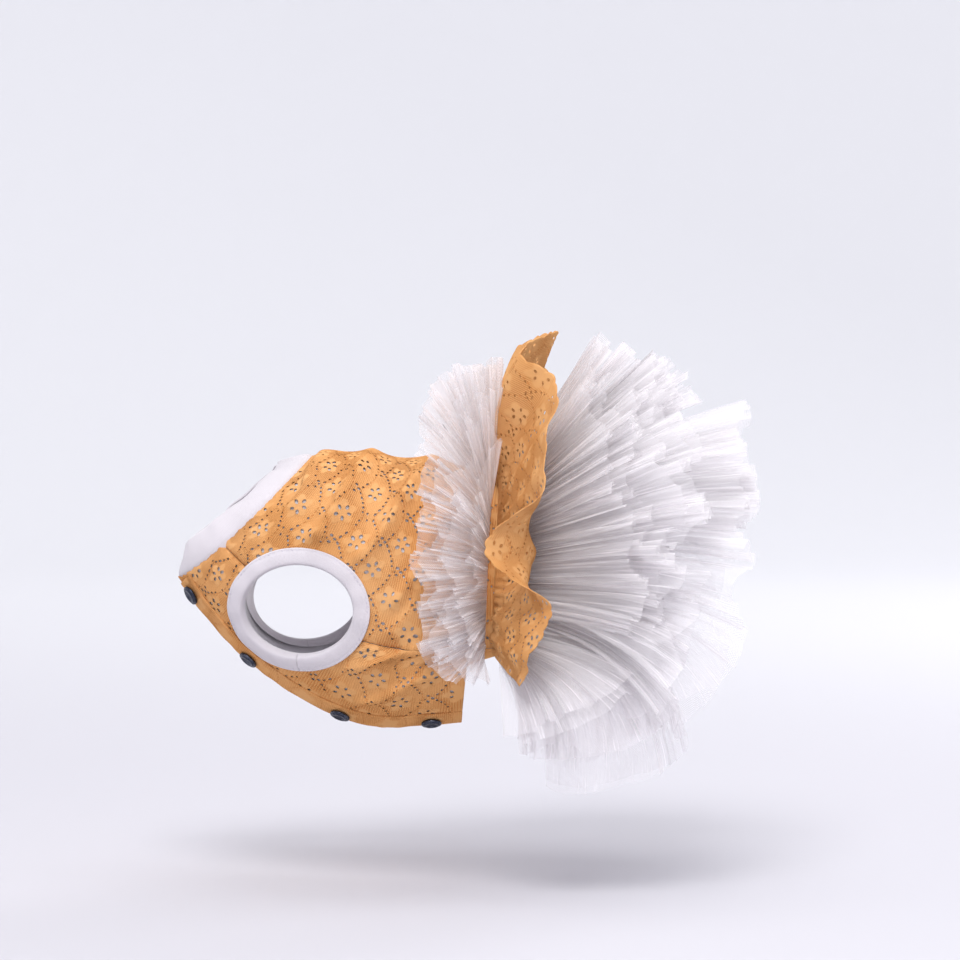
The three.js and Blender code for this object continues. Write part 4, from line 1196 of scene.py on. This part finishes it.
# %% Places round the rim
def along_rim(grow_table, stations):
    """Places round the leg hole at several distances from its rim, read smoothly between them."""
    rims = [grown_rim(80, value) for value in grow_table]
    at = np.stack([spread_over(rim[0], stations) for rim in rims], -1)
    turn = np.stack([spread_over(rim[1], stations) for rim in rims], -1)
    return at, turn


GROW_TABLE = np.array([0.0, 2.2, 4.4, 6.6, 8.8]) * MM
rim_at, rim_turn = along_rim(GROW_TABLE, BINDING_STATIONS)


def rim_place(station, grow):
    """The place on the body at a station of the rim and a distance from it."""
    share = np.clip(grow / GROW_TABLE[-1], 0, 0.9999) * (len(GROW_TABLE) - 1)
    low = share.astype(int)
    t = share - low
    row = station.astype(int) % BINDING_STATIONS
    at = rim_at[row, low] * (1 - t) + rim_at[row, low + 1] * t
    turn = rim_turn[row, low] * (1 - t) + rim_turn[row, low + 1] * t
    return at, turn


# %% One binding
def make_binding(name, side):
    """A folded strip round a leg hole. Side 1 is the left and side -1 the right."""
    steps = profile_steps(BINDING_PROFILE)
    grow = read_column(BINDING_PROFILE, "step", steps, "grow") * MM
    lift = read_column(BINDING_PROFILE, "step", steps, "lift") * MM
    stations, grows = np.meshgrid(np.arange(BINDING_STATIONS), np.maximum(grow, 0), indexing="ij")
    lifts = np.broadcast_to(lift, grows.shape)
    at, turn = rim_place(stations, grows)
    angle = 2 * np.pi * stations / BINDING_STATIONS
    near_stitches = np.exp(-(((grows - STITCH_GROW) / (0.7 * MM)) ** 2)) * (lifts > 0)
    dips = 0.05 * np.sin(STITCH_COUNT * angle + 0.8 * np.sin(5 * angle)) - 0.16
    pucker = MM * near_stitches * dips
    wave = spread_over(wander(10 + side, 200, 16), BINDING_STATIONS)[:, None] * BINDING_WAVE
    points = body_point(at, turn, lifts + pucker + wave * (lifts > 0))
    points[..., 1] *= side
    uv = np.stack([angle * 30 * MM, grows + np.abs(lifts)], -1)
    binding = grid_object(name, points, uv, is_round=True)
    middle = side_view_place(np.array([LEG_HOLE_X]), np.array([LEG_HOLE_Z]))
    hole = body_point(*middle, np.array([0.0]))[0]
    hole[1] *= side
    away = np.array([0.0, -side * 1.0, 0.0])
    face_out(binding, lambda centres: np.where((centres - hole)[:, 1:2] * away[1] > 0, away, -away))
    return binding


# %% Stitches
def stitch_ring(name, side, finish):
    """A ring of straight stitches, each a short thread that dips into the cloth at both ends."""
    sides, rings = 6, 5
    points, faces = [], []

    def rim_spot(station):
        place = rim_place(np.array([station]), np.array([STITCH_GROW]))
        return body_point(*place, np.array([STITCH_LIFT]))[0], body_frame(*place)[0][0]

    for n in range(STITCH_COUNT):
        station = n * BINDING_STATIONS / STITCH_COUNT
        spot, out = rim_spot(station)
        run = unit(rim_spot(station + 2)[0] - spot)
        across = np.cross(out, run)
        for r in range(rings):
            share = r / (rings - 1) * 2 - 1
            radius = THREAD_RADIUS * math.sqrt(max(1.05 - share**4, 0.05))
            centre = spot + run * share * STITCH_LENGTH / 2 + out * (0.08 - 0.3 * share**2) * MM
            for k in range(sides):
                angle = 2 * math.pi * k / sides
                points.append(centre + (across * math.cos(angle) + out * math.sin(angle)) * radius)
        start = n * sides * rings
        for r in range(rings - 1):
            for k in range(sides):
                a, b = start + r * sides + k, start + r * sides + (k + 1) % sides
                faces.append((a, b, b + sides, a + sides))
    points = np.array(points)
    points[:, 1] *= side
    faces = np.array(faces)
    stitches = mesh_object(name, points, faces, points[:, :2])
    stitches.data.materials.append(finish)
    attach(stitches, "root")
    return stitches


# %% Thread finish
def make_thread_finish(name, colour):
    """Sewing thread: smooth, a little glossy, with the twist of its plies."""
    material, tree, output = new_material(name)
    place = object_place(tree)
    shader = tree.nodes.new("ShaderNodeBsdfPrincipled")
    twist = ramp(tree, noise(tree, place, 900, 2.0), 0.3, 0.7)
    shade = blend_colours(tree, twist, colour, darker(colour, 0.88))
    tree.links.new(shade, shader.inputs["Base Color"])
    shader.inputs["Roughness"].default_value = 0.5
    tree.links.new(bump(tree, noise(tree, place, 5200, 1.0), 0.1 * MM), shader.inputs["Normal"])
    tree.links.new(shader.outputs[0], output.inputs["Surface"])
    return material


# %% The two leg holes
white_thread = make_thread_finish("thread_white", linear(214, 208, 220))
for word, side in (("left", 1), ("right", -1)):
    binding = make_binding(f"leg_binding_{word}", side)
    binding.data.materials.append(knit_finish)
    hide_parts(f"binding_{word}")
    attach(binding, "root")
    stitch_ring(f"leg_stitches_{word}", side, white_thread)
    print(binding.name, "area in square metres:", round(sheet_area(binding), 4))

# %% [markdown]
# ## Flap and press studs
# The dress closes under the belly with a flap of doubled lace and four press studs. The flap is
# a strip with soft folded edges. A stud's cap is turned, so it is a lathed profile: a flat rim,
# a groove, and a dished dome.

# %% Flap
FLAP_START = neck_edge(CLOSURE_TURN) + 0.01
FLAP_LENGTH = 0.19
FLAP_ROWS = 160
FLAP_WAVE = 0.18 * MM
FLAP_PROFILE = [
    {"step": 0, "beside": -0.5, "lift": 1.9},
    {"step": 1, "beside": -0.49, "lift": 2.6},
    {"step": 2, "beside": -0.42, "lift": 3.0},
    {"step": 3, "beside": -0.34, "lift": 2.85},
    {"step": 4, "beside": -0.2, "lift": 3.05},
    {"step": 5, "beside": 0.0, "lift": 3.1},
    {"step": 6, "beside": 0.2, "lift": 3.05},
    {"step": 7, "beside": 0.34, "lift": 2.85},
    {"step": 8, "beside": 0.42, "lift": 3.0},
    {"step": 9, "beside": 0.49, "lift": 2.6},
    {"step": 10, "beside": 0.5, "lift": 1.9},
]


# %% Making the flap
def flap_place(along, beside):
    """The place on the body of a point of the flap, from its share along and its metres beside."""
    at = FLAP_START + (BELLY_HEM - FLAP_START) * along
    degree = np.linalg.norm(body_base(at, CLOSURE_TURN + 1) - body_base(at, CLOSURE_TURN), axis=-1)
    return at, CLOSURE_TURN + beside / degree


def make_flap():
    """The closure's top flap."""
    steps = profile_steps(FLAP_PROFILE)
    beside = read_column(FLAP_PROFILE, "step", steps, "beside") * FLAP_WIDTH
    lift = read_column(FLAP_PROFILE, "step", steps, "lift") * MM
    along, besides = np.meshgrid(np.linspace(0, 1, FLAP_ROWS), beside, indexing="ij")
    at_edge = np.clip(np.abs(besides) / FLAP_WIDTH * 2, 0, 1)
    wave = FLAP_WAVE * np.sin(along * 90 + 3 * np.sin(along * 17)) * at_edge
    points = body_point(*flap_place(along, besides), lift + wave)
    uv = np.stack([besides, along * FLAP_LENGTH], -1)
    flap = grid_object("belly_flap", points, uv)
    face_out(flap, lambda centres: np.tile(np.array([-0.6, 0, -0.8]), (len(centres), 1)))
    return flap


flap = make_flap()
thicken(flap, 0.5 * MM)
flap.data.materials.append(lace_finish)
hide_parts("placket")
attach(flap, "root")
print("flap's area in square metres:", round(sheet_area(flap), 5))

# %% [markdown]
# ## The caps of the studs
# A cap's outline is given once, from its middle to its edge, and swept round the stud's axis.
# That is how a lathe turns it, and how a press draws it. The metal is dark plate, rubbed paler
# in patches by wear.

# %% Press studs
STUD_PLACES = np.linspace(0.085, 0.83, 4)
STUD_SEAT = 3.5 * MM
STUD_SIDES = 48
STUD_PROFILE = [  # radius and height in mm: the dome, the groove, the rim and its underside
    (0.0, 0.95), (1.1, 1.0), (2.2, 1.28), (3.0, 1.62), (3.6, 1.78), (4.1, 1.62), (4.3, 1.22),
    (4.5, 1.12), (4.75, 1.26), (5.05, 1.18), (5.22, 0.85), (5.25, 0.4), (5.1, 0.0), (4.3, -0.35),
]


# %% Metal finish
def make_metal_finish():
    """Dark plated metal with fine turning marks and rubbed edges."""
    material, tree, output = new_material("gunmetal_dark")
    place = object_place(tree)
    shader = tree.nodes.new("ShaderNodeBsdfPrincipled")
    worn = ramp(tree, noise(tree, place, 420, 4.0), 0.45, 0.75)
    colour = blend_colours(tree, worn, (0.035, 0.04, 0.062, 1), (0.11, 0.12, 0.155, 1))
    tree.links.new(colour, shader.inputs["Base Color"])
    shader.inputs["Metallic"].default_value = 0.85
    roughness = ramp(tree, noise(tree, place, 900, 3.0), 0.3, 0.8, 0.26, 0.5)
    tree.links.new(roughness, shader.inputs["Roughness"])
    tree.links.new(bump(tree, noise(tree, place, 3000, 2.0), 0.03 * MM), shader.inputs["Normal"])
    tree.links.new(shader.outputs[0], output.inputs["Surface"])
    return material


gunmetal = make_metal_finish()
for number, at in enumerate(STUD_PLACES, 1):
    place = (np.array([at]), np.array([CLOSURE_TURN]))
    seat = body_point(*place, np.array([STUD_SEAT]))[0]
    out, across, along = (vector[0] for vector in body_frame(*place))
    angle = 2 * np.pi * np.arange(STUD_SIDES) / STUD_SIDES
    radius, height = np.array(STUD_PROFILE).T[..., None] * MM
    ring_out = np.cos(angle)[:, None] * across + np.sin(angle)[:, None] * along
    points = seat + radius * ring_out[:, None] + height * out
    cap = grid_object(f"stud_cap_{number}", points, points[..., :2], is_round=True)
    face_out(cap, lambda centres, out=out: np.tile(out, (len(centres), 1)))
    cap.data.materials.append(gunmetal)
    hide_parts(f"stud_{number}")
    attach(cap, "root")
print("studs at shares of the bodice's length:", STUD_PLACES.round(3))

# %% [markdown]
# ## Waist seams
# The flounce and the four layers are all gathered onto the band at the waist, one seam close
# behind the other. Each starts from its seam, just off the lace. Near the seam the cloth is
# crowded into many fine gathers. Further out they join into fewer and deeper flutes.

# %% Table of the gathered layers
# stand: the angle at which a layer leaves the body, from 0 towards the tail to 90 square out.
# limp: how much it then falls. reach: a share of its length. seam: which seam it starts from.
GATHER_SPACING = 2.4 * MM
LAST_SEAM = 3
SEAM_LIFT = 3.3 * MM  # out from the lining's middle
TAIL = np.array([1.0, 0.0, 0.0])
DOWN = np.array([0.0, 0.0, -1.0])
LAYERS = {
    "tulle_front": {
        "seam": -2, "length": 60 * MM, "wave": 5.5 * MM,
        "rows": [
            {"turn": 0, "reach": 1.0, "stand": 106, "limp": 0.0},
            {"turn": 40, "reach": 0.9, "stand": 116, "limp": 0.0},
            {"turn": 80, "reach": 0.66, "stand": 137, "limp": 0.05},
            {"turn": 104, "reach": 0.56, "stand": 140, "limp": 0.15},
            {"turn": 116, "reach": 0.45, "stand": 130, "limp": 0.3},
        ],
    },
    "tulle_standing": {
        "seam": 1, "length": 90 * MM, "wave": 6.5 * MM,
        "rows": [
            {"turn": 0, "reach": 1.0, "stand": 54, "limp": 0.0},
            {"turn": 40, "reach": 0.97, "stand": 54, "limp": 0.0},
            {"turn": 80, "reach": 1.0, "stand": 37, "limp": 0.05},
            {"turn": 104, "reach": 0.95, "stand": 37, "limp": 0.3},
            {"turn": 116, "reach": 0.66, "stand": 84, "limp": 0.6},
        ],
    },
    "tulle_middle": {
        "seam": 2, "length": 106 * MM, "wave": 7.5 * MM,
        "rows": [
            {"turn": 0, "reach": 1.0, "stand": 31, "limp": 0.0},
            {"turn": 40, "reach": 0.97, "stand": 33, "limp": 0.0},
            {"turn": 80, "reach": 1.02, "stand": 25, "limp": 0.15},
            {"turn": 92, "reach": 0.98, "stand": 27, "limp": 0.5},
            {"turn": 104, "reach": 0.85, "stand": 29, "limp": 0.8},
            {"turn": 116, "reach": 0.58, "stand": 73, "limp": 1.1},
        ],
    },
    "tulle_long": {
        "seam": 3, "length": 126 * MM, "wave": 8 * MM,
        "rows": [
            {"turn": 0, "reach": 0.97, "stand": 11, "limp": 0.1},
            {"turn": 40, "reach": 1.0, "stand": 11, "limp": 0.1},
            {"turn": 70, "reach": 0.98, "stand": 10, "limp": 0.25},
            {"turn": 90, "reach": 0.93, "stand": 13, "limp": 0.75},
            {"turn": 104, "reach": 0.92, "stand": 13, "limp": 0.95},
            {"turn": 116, "reach": 0.6, "stand": 46, "limp": 1.6},
        ],
    },
}


# %% How a layer lies
def waist_seam(turn, seam):
    """Points on a seam at the waist, a little off the lace, and the ways square out from them."""
    turn = np.asarray(turn, float)
    out = body_frame(np.ones_like(turn), turn)[0]
    square = unit(out - (out @ TAIL)[..., None] * TAIL)
    near = 0.9
    length = np.linalg.norm(body_base(near, turn) - body_base(1.0, turn), axis=-1) / (1 - near)
    at = 1 - (LAST_SEAM + 0.5 - seam) * GATHER_SPACING / length
    return body_point(at, turn, np.full_like(turn, SEAM_LIFT)), square


def read_by_turn(rows, turn, keys):
    """Columns of a table at turns to both sides of the back."""
    return (read_column(rows, "turn", np.abs(turn), key) for key in keys)


def layer_lines(layer, turn, steps, tilt):
    """The middle lines of a ply at turns, from its seam to its free edge. tilt is in degrees."""
    reach, stand, limp = read_by_turn(layer["rows"], turn, ("reach", "stand", "limp"))
    point, square = waist_seam(turn, layer["seam"])
    stand = np.radians(stand + tilt)
    start = np.cos(stand)[:, None] * TAIL + np.sin(stand)[:, None] * square
    stride = reach * layer["length"] / steps
    lines = [point]
    for j in range(1, steps + 1):
        bend = limp * (j - 0.5) / steps
        heading = unit(start * np.maximum(1 - bend, 0)[:, None] + bend[:, None] * DOWN)
        point = point + heading * stride[:, None]
        lines.append(point)
    return np.stack(lines, 1)


# %% [markdown]
# ## Tulle
# Tulle is a net of very fine nylon. One ply hides little, and folds of it look white where the
# plies add up. So each layer is made of several plies of thin sheet, each with gathers of its
# own, and the finish is a net: mostly air, with pale threads that both scatter light and let it
# through. The folds swing sideways as well as out, so they turn over themselves as real
# gathers do, and their edges show as bright loops.

# %% Table of the pleats
# folds: how many pleats, their depth in mm, and the powers with which they open and close.
# fans: how many degrees the plies fan out, round the body. tip: which way the fan leans.
# ragged: how uneven the hem is cut. cut: its length, as a share. swing: how far pleats lean over.
PLEATS = {
    "tulle_front": {
        "plies": 4, "columns": 860, "steps": 10, "seed": 101,
        "folds": [(104, 1.3, 0.3, 1.0), (44, 2.0, 0.9, 0.0)],
        "fans": [{"turn": 0, "fan": 28}, {"turn": 50, "fan": 44}, {"turn": 116, "fan": 66}],
        "tip": -0.1, "ragged": 0.07, "cut": 0.97, "swing": 0.7,
    },
    "tulle_standing": {
        "plies": 3, "columns": 900, "steps": 12, "seed": 201,
        "folds": [(108, 1.5, 0.3, 1.0), (46, 2.8, 0.9, 0.0)],
        "fans": [{"turn": 0, "fan": 16}, {"turn": 60, "fan": 16}, {"turn": 116, "fan": 12}],
        "tip": -0.5, "ragged": 0.08, "cut": 0.97, "swing": 0.7,
    },
    "tulle_middle": {
        "plies": 3, "columns": 900, "steps": 13, "seed": 301,
        "folds": [(98, 1.5, 0.3, 1.0), (38, 3.2, 0.9, 0.0)],
        "fans": [{"turn": 0, "fan": 12}, {"turn": 60, "fan": 12}, {"turn": 116, "fan": 10}],
        "tip": 0.0, "ragged": 0.08, "cut": 0.96, "swing": 0.7,
    },
    "tulle_long": {
        "plies": 2, "columns": 860, "steps": 16, "seed": 401,
        "folds": [(80, 1.1, 0.2, 1.6), (15, 4.4, 1.0, 0.0)],
        "fans": [{"turn": 0, "fan": 8}, {"turn": 60, "fan": 8}, {"turn": 116, "fan": 8}],
        "tip": 0.0, "ragged": 0.04, "cut": 0.96, "swing": 0.6,
    },
}
for node, pleats in PLEATS.items():
    LAYERS[node].update(pleats)
print("plies of tulle:", sum(pleats["plies"] for pleats in PLEATS.values()))


# %% Gathers
SKIRT_END = 116
FLUTES = 12
FLUTE_SHIFT = 0.125  # of a flute, so that the layers' flutes nest
FLUTE_DEPTH, FLUTE_STRAY = 0.55, 0.35  # shares of a layer's wave
PLEAT_SHARPNESS = 0.985
WAVE_COUNT = 14


def random_line(chance, places, shortest, longest=1.0):
    """A smooth random line over places from 0 to 1, whose waves are between two lengths."""
    line = np.zeros_like(places)
    for _ in range(WAVE_COUNT):
        wave = math.exp(chance.uniform(math.log(shortest), math.log(longest)))
        swing = np.cos(2 * np.pi * places / wave + chance.uniform(0, 2 * np.pi))
        line = line + swing * chance.uniform(0.5, 1)
    return line / math.sqrt(WAVE_COUNT / 2 * 0.6)


def pleat(phase):
    """A wave from -1 to 1 with straight sides and nearly sharp turns."""
    return np.arcsin(PLEAT_SHARPNESS * np.sin(phase)) / math.asin(PLEAT_SHARPNESS)


# %% One ply
def gathered_ply(layer, ply):
    """A ply of a layer as a grid of points, with fine gathers at its seam and flutes further out."""
    chance = np.random.default_rng(layer["seed"] + ply)
    u = np.linspace(0, 1, layer["columns"])
    turn = SKIRT_END * (2 * u - 1)
    stray = (ply - (layer["plies"] - 1) / 2) / (layer["plies"] - 1)
    fan = read_column(layer["fans"], "turn", np.abs(turn), "fan")
    lines = layer_lines(layer, turn, layer["steps"], fan * (stray + layer["tip"]))
    v = np.linspace(0, 1, layer["steps"] + 1)[None, :]
    across = unit(np.gradient(lines, axis=0))
    out = unit(np.cross(across, unit(np.gradient(lines, axis=1))))
    ragged = layer["ragged"] * random_line(chance, u, 0.05, 0.4)[:, None]
    cut = np.clip(layer["cut"] + ragged - 0.04 * abs(stray) + 0.015 * chance.normal(), 0.7, 1.04)
    lines = lines[:, :1] + (lines - lines[:, :1]) * (1 + (cut - 1) * v**2)[..., None]

    broad = 2 * np.pi * (FLUTES * u - FLUTE_SHIFT)[:, None]
    out_shift = -FLUTE_DEPTH * layer["wave"] * v**1.1 * np.cos(broad)
    strays = random_line(chance, u, 0.04, 0.2)[:, None]
    out_shift = out_shift + FLUTE_STRAY * layer["wave"] * v**1.3 * strays
    side_shift = 0.0
    for folds, size, opening, closing in layer["folds"]:
        drift = random_line(chance, u, 0.025, 0.3)[:, None]
        bend = random_line(chance, u, 0.03, 0.3)[:, None]
        phase = 2 * np.pi * folds * u[:, None] + 2.2 * drift + 0.8 * v * bend
        uneven = np.clip(1 + 0.5 * random_line(chance, u, 0.02, 0.2)[:, None], 0.15, 2.2)
        opened = np.minimum(v / 0.03, 1) * v**opening * (1 - 0.8 * v) ** closing
        deep = size * MM * uneven * opened
        out_shift = out_shift + deep * pleat(phase)
        side_shift = side_shift + deep * layer["swing"] * np.sin(2 * phase + 0.6 * drift)
    points = lines + out * out_shift[..., None] + across * side_shift[..., None]
    hem_steps = np.linalg.norm(np.diff(points[:, -1], axis=0, prepend=points[:1, -1]), axis=-1)
    along_hem = np.cumsum(hem_steps)[:, None] + 0.37 * ply
    uv = np.stack(np.broadcast_arrays(along_hem, v * layer["length"]), -1)
    sheet_out = unit(np.cross(np.gradient(points, axis=0), np.gradient(points, axis=1)))
    crowd = 1 - np.abs((sheet_out * out).sum(-1))
    return points, uv, crowd


# %% A layer in one mesh
def make_tulle_layer(name, node, finish):
    """A gathered layer of tulle: its plies in one mesh."""
    layer = LAYERS[node]
    plies = []
    start = 0
    for ply in range(layer["plies"]):
        points, uv, crowd = gathered_ply(layer, ply)
        faces = grid_faces(*crowd.shape) + start
        plies.append((points.reshape(-1, 3), faces, uv.reshape(-1, 2), crowd.ravel()))
        start += crowd.size
    piece = mesh_object(name, *(np.concatenate(parts) for parts in zip(*plies)))
    piece.data.materials.append(finish)
    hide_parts(node)
    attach(piece, "root")
    return piece


# %% [markdown]
# ## The net
# A real net has threads a tenth of a millimetre thick round holes of a millimetre. As geometry
# that would be millions of faces, so the sheet's finish draws it: cover is how much of a place
# is thread. Where a ply stands on edge to its layer, more threads lie behind each other, so the
# mark that the pleats carry adds cover there, and so do the creases that run along them.

# %% Tulle finish
NET_PITCH = 0.95  # in mm
TULLE_COLOUR = linear(253, 250, 252)
CREASE_STRETCH = (0.5, 0.018)  # the creases run along the pleats, so they are drawn out that way
GLOW_SHARE = 0.45  # of the light that the threads let through


# %% The tulle's material
def make_tulle_finish(name, colour, thin, thick, mesh_size):
    """A net: threads round small holes. thin and thick are its cover in a hole and on a thread."""
    material, tree, output = new_material(name)
    across, along = cloth_millimetres(tree)
    a = maths(tree, "MULTIPLY", across, 2 * math.pi / mesh_size)
    b = maths(tree, "MULTIPLY", along, 2 * math.pi / (1.732 * mesh_size))
    first = maths(tree, "MULTIPLY", maths(tree, "COSINE", a), maths(tree, "COSINE", b))
    second = maths(tree, "MULTIPLY", maths(tree, "COSINE", maths(tree, "MULTIPLY", b, 2.0)), 0.5)
    cover = ramp(tree, maths(tree, "ADD", first, second), -0.5, 0.9, thick, thin)
    crowd = tree.nodes.new("ShaderNodeAttribute")
    crowd.attribute_name = "mark"
    crowded = ramp(tree, crowd.outputs["Fac"], 0.2, 1.0, 0.0, 0.42)
    line_place = tree.nodes.new("ShaderNodeCombineXYZ")
    for socket, flat, share in zip(line_place.inputs, (across, along), CREASE_STRETCH):
        tree.links.new(maths(tree, "MULTIPLY", flat, share), socket)
    creased = ramp(tree, noise(tree, line_place.outputs[0], 1.0, 3.0), 0.52, 0.72, 0.0, 0.34)
    cover = maths(tree, "ADD", cover, maths(tree, "ADD", crowded, creased))
    cloth = tree.nodes.new("ShaderNodeBsdfPrincipled")
    cloth.inputs["Base Color"].default_value = colour
    cloth.inputs["Roughness"].default_value = 0.6
    cloth.inputs["Specular IOR Level"].default_value = 0.3
    cloth.inputs["Sheen Weight"].default_value = 0.15
    glow = tree.nodes.new("ShaderNodeBsdfTranslucent")
    glow.inputs["Color"].default_value = colour
    both = tree.nodes.new("ShaderNodeMixShader")
    both.inputs["Fac"].default_value = GLOW_SHARE
    tree.links.new(cloth.outputs[0], both.inputs[1])
    tree.links.new(glow.outputs[0], both.inputs[2])
    air = tree.nodes.new("ShaderNodeBsdfTransparent")
    mix = tree.nodes.new("ShaderNodeMixShader")
    tree.links.new(cover, mix.inputs["Fac"])
    tree.links.new(air.outputs[0], mix.inputs[1])
    tree.links.new(both.outputs[0], mix.inputs[2])
    tree.links.new(mix.outputs[0], output.inputs["Surface"])
    return material


tulle_finish = make_tulle_finish("tulle_white", TULLE_COLOUR, 0.15, 0.38, NET_PITCH)
sheer_finish = make_tulle_finish("tulle_sheer", TULLE_COLOUR, 0.1, 0.3, NET_PITCH)

# %% Tulle layers
make_tulle_layer("ruffle_front", "tulle_front", tulle_finish)
make_tulle_layer("ruffle_standing", "tulle_standing", tulle_finish)
make_tulle_layer("skirt_middle", "tulle_middle", tulle_finish)
make_tulle_layer("skirt_long", "tulle_long", sheer_finish)

# %% [markdown]
# ## Flounce
# The flounce is a strip of the same lace, gathered to a bit under half its length. It stands
# straight out from the waist over the back and sides, and its free edge swings to and fro in
# broad waves. It is cut flat with its holes and a scalloped edge, then carried to its place.

# %% Table of the flounce
FLOUNCE_END = 112
FLOUNCE_WIDTH = 80 * MM
FLOUNCE_WAVE = 17 * MM
FLOUNCE_FLAT = 448.0  # the strip's whole length, in mm
FLOUNCE_ROWS = [
    {"turn": 0, "width": 1.0, "wave": 0.2, "bulge": 0.0, "lean": 20},
    {"turn": 11, "width": 0.99, "wave": -0.3, "bulge": -0.25, "lean": 20},
    {"turn": 21, "width": 0.97, "wave": -0.92, "bulge": -0.55, "lean": 20},
    {"turn": 32, "width": 0.95, "wave": 0.2, "bulge": -0.2, "lean": 20},
    {"turn": 46, "width": 0.89, "wave": -0.05, "bulge": 0.0, "lean": 20},
    {"turn": 58, "width": 0.84, "wave": -0.05, "bulge": 0.2, "lean": 19},
    {"turn": 66, "width": 0.74, "wave": -1.25, "bulge": 1.05, "lean": 18},
    {"turn": 73, "width": 0.73, "wave": -1.3, "bulge": 1.1, "lean": 18},
    {"turn": 79, "width": 0.75, "wave": -0.55, "bulge": 0.6, "lean": 18},
    {"turn": 85, "width": 0.77, "wave": 0.45, "bulge": 0.0, "lean": 18},
    {"turn": 93, "width": 0.76, "wave": 0.45, "bulge": -0.3, "lean": 18},
    {"turn": 102, "width": 0.72, "wave": 0.05, "bulge": -0.3, "lean": 18},
    {"turn": 112, "width": 0.62, "wave": 0.07, "bulge": 0.0, "lean": 16},
]
FLOUNCE_LENGTH = 80.0  # and its flat width
FLOUNCE_SEAM = -0.5  # between the front layer's seam and the standing one's
FLOUNCE_SPACING = 1.9
EDGE_SCALLOP = 7.0
GATHER_DEPTH, FLUTE_HEIGHT, CREASE_DEPTH = 1.0, 1.9, 0.8  # in mm


# %% The flounce's shape
def flounce_point(x, y):
    """The place of a point of the flat flounce, x along its edge and y out from its seam, in mm."""
    turn = FLOUNCE_END * 2 * x / FLOUNCE_FLAT
    columns = ("width", "wave", "bulge", "lean")
    width, wave, bulge, lean = read_by_turn(FLOUNCE_ROWS, turn, columns)
    seam, square = waist_seam(turn, FLOUNCE_SEAM)
    share = y / FLOUNCE_LENGTH
    reach = share * width * FLOUNCE_WIDTH
    lean = np.radians(lean)
    opening = np.minimum(np.maximum(share, 0) / 0.04, 1)
    gathers = GATHER_DEPTH * np.sin(2 * np.pi * x / 7.4 + 1.2 * np.sin(x / 23)) * np.exp(-5 * share)
    flutes = FLUTE_HEIGHT * np.sin(2 * np.pi * x / 19 + 1.4 * np.sin(x / 41) + 1.1 * share)
    flutes = flutes * share**0.6 * np.exp(-0.9 * share)
    creases = CREASE_DEPTH * np.sin(x / 3.1 + 2 * np.sin(y / 17)) * np.sin(y / 9 + x / 29) * share
    swing = np.maximum(share, 0) ** 1.3 * wave + 4 * share * (1 - share) * bulge
    tailwards = reach * np.sin(lean) + swing * FLOUNCE_WAVE
    tailwards = tailwards + (gathers + flutes + creases) * MM * opening
    return seam + square * (reach * np.cos(lean))[..., None] + TAIL * tailwards[..., None]


def flounce_edge(x):
    """The scalloped free edge."""
    return FLOUNCE_LENGTH - 1.3 + 1.2 * np.abs(np.sin(np.pi * x / EDGE_SCALLOP))


# %% Making the flounce
def make_flounce():
    """The flounce as a cut and placed mesh."""
    half = FLOUNCE_FLAT / 2
    across = np.linspace(-half, half, 520)
    sides = np.linspace(0, 1, 40)[1:-1]
    top_left, top_right = flounce_edge(np.array([-half, half]))
    edge = [(x, 0.0) for x in across]
    edge += [(half, share * top_right) for share in sides]
    edge += [(x, float(flounce_edge(x))) for x in across[::-1]]
    edge += [(-half, share * top_left) for share in sides[::-1]]

    def to_flat(across_mm, along_mm):
        return across_mm, along_mm

    def keep(x, y):
        on_cloth = (np.abs(x) < half - 2.5) & (y > 8) & (y < FLOUNCE_LENGTH - 4.0)
        return on_cloth & lies_open(flounce_point, x, np.clip(y, 1, FLOUNCE_LENGTH))

    def inside(x, y):
        return (np.abs(x) < half) & (y > 0) & (y < flounce_edge(x))

    layout = lay_out_holes(flounce_point, to_flat, (-half, half), (0, FLOUNCE_LENGTH), keep)
    flat, faces, cord = cut_cloth(np.array(edge), *layout, [], FLOUNCE_SPACING, inside)
    points = flounce_point(flat[:, 0], flat[:, 1])
    piece = mesh_object("lace_flounce", points, faces, flat * MM, cord)
    print("flounce triangles:", len(faces), "holes:", len(layout[0]))
    return piece


flounce = make_flounce()
face_out(flounce, lambda centres: np.tile(-TAIL, (len(centres), 1)))
thicken(flounce, LACE_WALL)
flounce.data.materials.append(lace_finish)
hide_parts("flounce")
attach(flounce, "root")
print("flounce's area in square metres:", round(sheet_area(flounce), 4))
